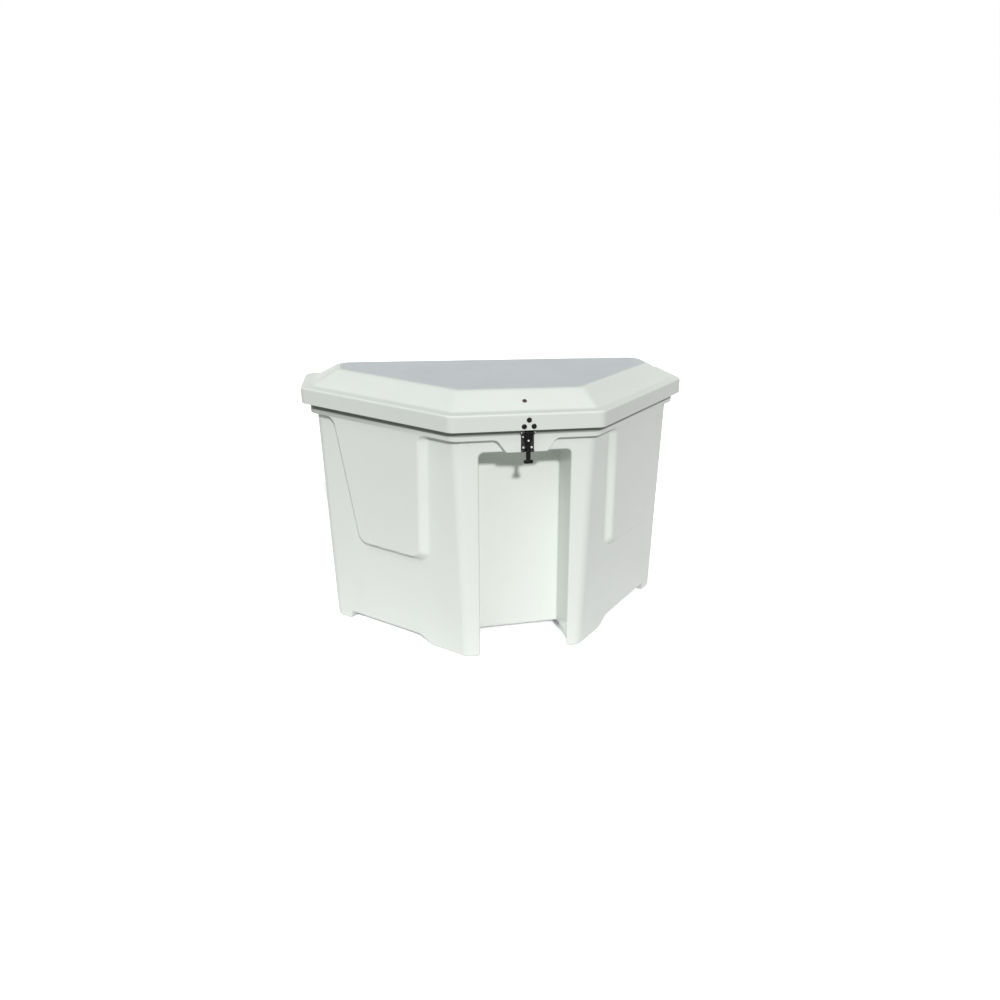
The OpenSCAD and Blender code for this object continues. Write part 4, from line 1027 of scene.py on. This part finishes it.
def dome_profile(r, height, lip, shank_r, length):
    """A domed bolt head over a narrow flange, and a threaded shank."""
    rise = [(lip + (height - lip) * math.sin(a), (r - 0.9) * math.cos(a) + 0.02)
            for a in np.linspace(math.pi / 2, 0.12, 9)]
    return [*rise, (lip, r - 0.5), (lip * 0.5, r), (0, r - 0.2), (0, shank_r),
            *thread(3.0, length - 0.8, shank_r), (-length, 0.05)]


# The mouldings

dress(make_tub(), "tub", "gelcoat", "tub_shell", materials=(GELCOAT, LAMINATE))
dress(make_lid(), "lid", "gelcoat", "lid_shell", materials=(GELCOAT, LAMINATE, NON_SKID_PAINTED_SKY))

# Rivets of the hinge: a low head with the hollow of its mandrel, a shank, a swelling behind the moulding

RIVET = [(0.7, 0.05), (0.7, 0.95), (1.25, 1.15), (1.6, 1.9), (1.15, 3.6), (0.35, 4.5), (0, 4.5), (0, 2.4),
         (-7, 2.4), (-7, 3.55), (-8.4, 3.6), (-9.5, 2.2), (-9.5, 0.05)]
LEAF = 2
for name, body in (("Lower_hinge_rivets", "tub"), ("Upper_hinge_rivets", "lid")):
    node = f"hinge_rivets_{body}"
    spots = [(x, BACK_Y + LEAF, z) for lo, hi, (x, y, z) in solids_of(node)]
    rivet = lathe("Rivet", RIVET, TO_BACK, 0.25)
    dress(on_points(name, spots, rivet, (0, 1, 0), "fastener_steel"), body, "fastener_steel", node)

# Screws of the strut plates

for body in ("tub", "lid"):
    node, name, rows = f"strut_screws_{body}", f"Strut_screws_in_the_{body}", []
    for side, turn in ((-1, TO_RIGHT), (1, TO_LEFT)):
        spots = [(side * (min(abs(lo[0]), abs(hi[0])) + 2), y, z) for lo, hi, (x, y, z) in solids_of(node)
                 if side * x > 0]
        head = lathe("Screw", screw_profile(4.75, 2.0, 2.3, 10), turn, 0.2)
        rows.append(on_points(f"{name}_{side}", spots, head, (1, 0, 0), "fastener_steel", seed=3))
    dress(joined(name, rows), body, "fastener_steel", node)

# Bolts, nuts and screws of the latch and its keeper

bolt_at = [(x, FRONT_Y, z) for lo, hi, (x, y, z) in solids_of("latch_bolts")]
nut_at = [(x, y + LID_WALL + 5.15, z) for x, y, z in bolt_at]
bolt = lathe("Bolt", dome_profile(9, 5, 1.6, 4, 16), TO_FRONT, 0.3, 40)
dress(on_points("Latch_bolts", bolt_at, bolt, (0, 1, 0), "dark_bolt"), "lid", "dark_bolt", "latch_bolts")
dress(on_points("Latch_nuts", nut_at, nut("Nut", 8, 5, 4, TO_BACK), (0, 1, 0), "fastener_steel", 0.5),
      "lid", "fastener_steel", "latch_nuts")
screws, nuts = [], []
for lo, hi, (x, y, z) in solids_of("keeper_screws"):
    place = put(x, lo[1] + 2.5, z) @ TO_FRONT
    screws.append(lathe("Screw", screw_profile(4.75, 2.5, 2.5, hi[1] - lo[1] - 2.5), place, 0.2))
for lo, hi, (x, y, z) in solids_of("keeper_nuts"):
    nuts.append(nut("Nut", 5, 5, 2.6, put(x, lo[1], z) @ TO_BACK))
dress(joined("Keeper_screws", screws), "tub", "fastener_steel", "keeper_screws")
dress(joined("Keeper_nuts", nuts), "tub", "fastener_steel", "keeper_nuts")

# Strap, its pin and its rivet

pin = [(-24.5, 0.05), (-24.5, 4), (-22.3, 4), (-22.3, 2.5), (22.3, 2.5), (22.3, 4), (24.5, 4), (24.5, 0.05)]
dress(lathe("Latch_rod", pin, put(0, PIN_Y, PIN_Z) @ TO_RIGHT, 0.8, 32), "lid", "fastener_steel", "latch_pin")
dress(make_strap("Rubber_strap"), "latch_strap", "strap_rubber", "latch_strap")
rivet = [(5.2, 0.05), (5.15, 1.2), (4.9, 2.4), (4.0, 3.45), (4.0, 1.75), (-4, 1.75), (-4, 3.45), (-4.9, 2.4),
         (-5.2, 0.05)]
dress(lathe("Strap_rivet", rivet, put(0, PIN_Y, PIN_Z - RIVET_DROP) @ TO_FRONT, 0.15), "latch_strap",
      "fastener_steel", "strap_rivet")

# The bolt on the lid's front slope, by its level distance from the shelf, through the lid, bar and nut

BOLT_RUN, BAR_T, NUT_T = 39, 6, 3.4
slope = math.atan2(DOME_RISE, DOME["front"] - DOME_EASE - SHELF_W)
place = put(0, FRONT_Y + SHELF_W + BOLT_RUN, SHELF_Z + BOLT_RUN * math.tan(slope))
place = place @ Matrix.Rotation(slope, 4, "X")
profile = dome_profile(8, 5, 1.6, 3, LID_WALL + BAR_T + NUT_T + 5)
dress(lathe("Bevel_bolt", profile, place, 0.3, 40), "lid", "dark_bolt", "bar_bolt",
      materials=[BROWN_BOLT])

# Seal and drain of the tub

dress(make_seal("Rim_seal_bulb"), "tub", "seal_rubber", "rim_seal")
bush = [(-3, 9.2), (-3, 11.8), (5, 11.8), (5, 18), (7, 18), (8, 16.6), (8, 10.2), (6.8, 9), (-2.2, 9),
        (-3, 9.2)]
rings = turned_rings(softened(bush, 0.5)[:-1], put(0, DRAIN_Y, FLOOR_Z), 40)
dress(smooth_shaded(skinned("Drain_fitting", rings, loop=True)), "tub", "bush_plastic", "drain_bush")

# Gas strut tubes: rounded foot, rolled groove over the gland, lip turned in at the end

for side in ("left", "right"):
    lo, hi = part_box(f"strut_tube_{side}")
    place = put((lo[0] + hi[0]) / 2 / MM, 253.5, 655) @ Matrix.Rotation(math.atan2(35, 245), 4, "X")
    tube = [(16, 0.5), (16, 6.2), (18.4, 9), (180.5, 9), (182, 8.45), (183.5, 9), (188.6, 9), (191, 8.2),
            (190.4, 8.0), (20, 8.0), (18, 0.5)]
    dress(lathe(f"{side.capitalize()}_gas_tube", tube, place, 0.8, 40), f"strut_body_{side}", "black_metal",
          f"strut_tube_{side}")

# Pieces whose CAD shape is right and only needs its edges rounded:
# name, CAD node, body, slot, rounding
CUT_PIECES = [
    ("Keeper", "keeper_plate", "tub", "black_metal", 0.7),
    ("Lower_hinge_leaf", "hinge_leaf_tub", "tub", "hinge_steel", 0.35),
    ("Hinge_rod", "hinge_pin", "tub", "hinge_steel", 0.5),
    ("Strut_blocks_in_the_tub", "strut_pads_tub", "tub", "gelcoat_inside", 3.0),
    ("Strut_clips", "stud_clips", "tub", "fastener_steel", 0.3),
    ("Lid_flat_bar", "lid_bar", "lid", "hinge_steel", 0.8),
    ("Lid_hats", "lid_stiffeners", "lid", "gelcoat_inside", 5.0),
    ("Bevel_nut", "bar_nut", "lid", "fastener_steel", 0.4),
    ("Upper_hinge_leaf", "hinge_leaf_lid", "lid", "hinge_steel", 0.35),
    ("Strap_bracket", "latch_bracket", "lid", "black_metal", 0.6),
    ("Bracket_backing", "latch_backing", "lid", "fastener_steel", 0.5),
    ("Strut_blocks_in_the_lid", "strut_pads_lid", "lid", "gelcoat_inside", 3.0),
]
for side in ("left", "right"):
    label = side.capitalize()
    CUT_PIECES += [
        (f"{label}_lower_strut_plate", f"strut_bracket_{side}", "tub", "hinge_steel", 0.5),
        (f"{label}_upper_strut_plate", f"strut_stud_{side}", "lid", "hinge_steel", 0.5),
        (f"{label}_gland", f"strut_gland_{side}", f"strut_body_{side}", "fastener_steel", 0.5),
        (f"{label}_lower_eye", f"strut_tail_{side}", f"strut_body_{side}", "black_metal", 0.9),
        (f"{label}_piston_rod", f"strut_rod_{side}", f"strut_rod_{side}", "rod_chrome", 0.5),
        (f"{label}_upper_eye", f"strut_head_{side}", f"strut_rod_{side}", "black_metal", 0.9),
    ]
for name, node, body, slot, edge in CUT_PIECES:
    dress(finished_node(name, node, edge), body, slot, node)


# Light, floor, camera


def lamp(name, azimuth, elevation, strength, colour, angle):
    """A sun that shines from an azimuth (0 is straight from the front, 90 from the left) and elevation."""
    data = bpy.data.lights.new(name, "SUN")
    data.energy, data.color, data.angle = strength * math.pi, colour, math.radians(angle)
    a, e = math.radians(azimuth), math.radians(elevation)
    come = Vector((-math.sin(a) * math.cos(e), -math.cos(a) * math.cos(e), math.sin(e)))
    obj = placed(name, data)
    obj.rotation_euler = come.to_track_quat("Z", "Y").to_euler()
    return obj


def seen_share(t):
    """One where the eye, a reflection or a glass sees the surface itself, nought where it only lights."""
    path = t.add("ShaderNodeLightPath").outputs
    mirrored = t.math("ADD", path["Is Glossy Ray"], path["Is Transmission Ray"])
    return t.math("ADD", path["Is Camera Ray"], mirrored, True)


def make_sky():
    """A dim even sky, seen as white."""
    world = bpy.data.worlds.new("Studio")
    world.use_nodes = True
    t = Tree(world.node_tree)
    background, share = world.node_tree.nodes["Background"], seen_share(t)
    t.put(background.inputs["Color"], t.mixed(share, rgb(0.97, 1.0, 0.95), rgb(1, 1, 1)))
    t.put(background.inputs["Strength"], t.spread(share, 0.0, 1.0, 0.14, 1.0))
    scene.world = world


def make_floor(half=60000):
    """A pale floor, seen as white, which lights the box only from close by."""
    floor = mesh_object("Floor", [(-half, -half, 0), (half, -half, 0), (half, half, 0), (-half, half, 0)],
                        [(0, 1, 2, 3)])
    paving = bpy.data.materials.new("Pale floor")
    paving.use_nodes = True
    paving.node_tree.nodes.clear()
    t = Tree(paving.node_tree)
    away = t.add("ShaderNodeVectorMath", {0: t.surface("Position")}, operation="LENGTH").outputs["Value"]
    near = t.spread(away, 0.9, 2.2, 1.0, 0.0)
    lit = t.mixed(near, rgb(0.2, 0.2, 0.2), rgb(0.68, 0.665, 0.70))
    matt = t.add("ShaderNodeBsdfDiffuse", {"Color": t.mixed(seen_share(t), lit, rgb(1.9, 1.9, 1.9))})
    t.add("ShaderNodeOutputMaterial", {"Surface": matt.outputs[0]})
    floor.data.materials.append(paving)


def make_camera():
    """The camera, where a fit to the box's edges in the photograph puts it."""
    lens = bpy.data.cameras.new("Camera")
    lens.sensor_width, lens.lens = 36.0, 32.553
    lens.shift_x, lens.shift_y = -0.12, 0.0
    lens.clip_start, lens.clip_end = 0.05, 200
    camera = placed("Camera", lens)
    camera.location = (-0.617, -3.210, 1.652)
    aside, dipped, rolled = 18.37, 19.52, 2.54
    look = turned(-aside, "Z") @ turned(90 - dipped, "X") @ turned(rolled, "Z")
    camera.rotation_euler = look.to_euler()
    scene.camera = camera


lamp("Key", 0, 30, 0.685, (1.0, 0.965, 1.015), 4)
lamp("Soft side light", 50, 50, 0.325, (0.97, 1.0, 1.03), 50)
# A mirrored low back light would make the level plateau glare, so this one only lights
lamp("Low back light", 185, 7, 0.3, (0.98, 1.0, 1.0), 12).visible_glossy = False
make_sky()
make_floor()
make_camera()

view = scene.view_settings
view.view_transform, view.look = "Standard", "None"
view.exposure, view.gamma = 0.0, 1.0

bpy.context.view_layer.update()
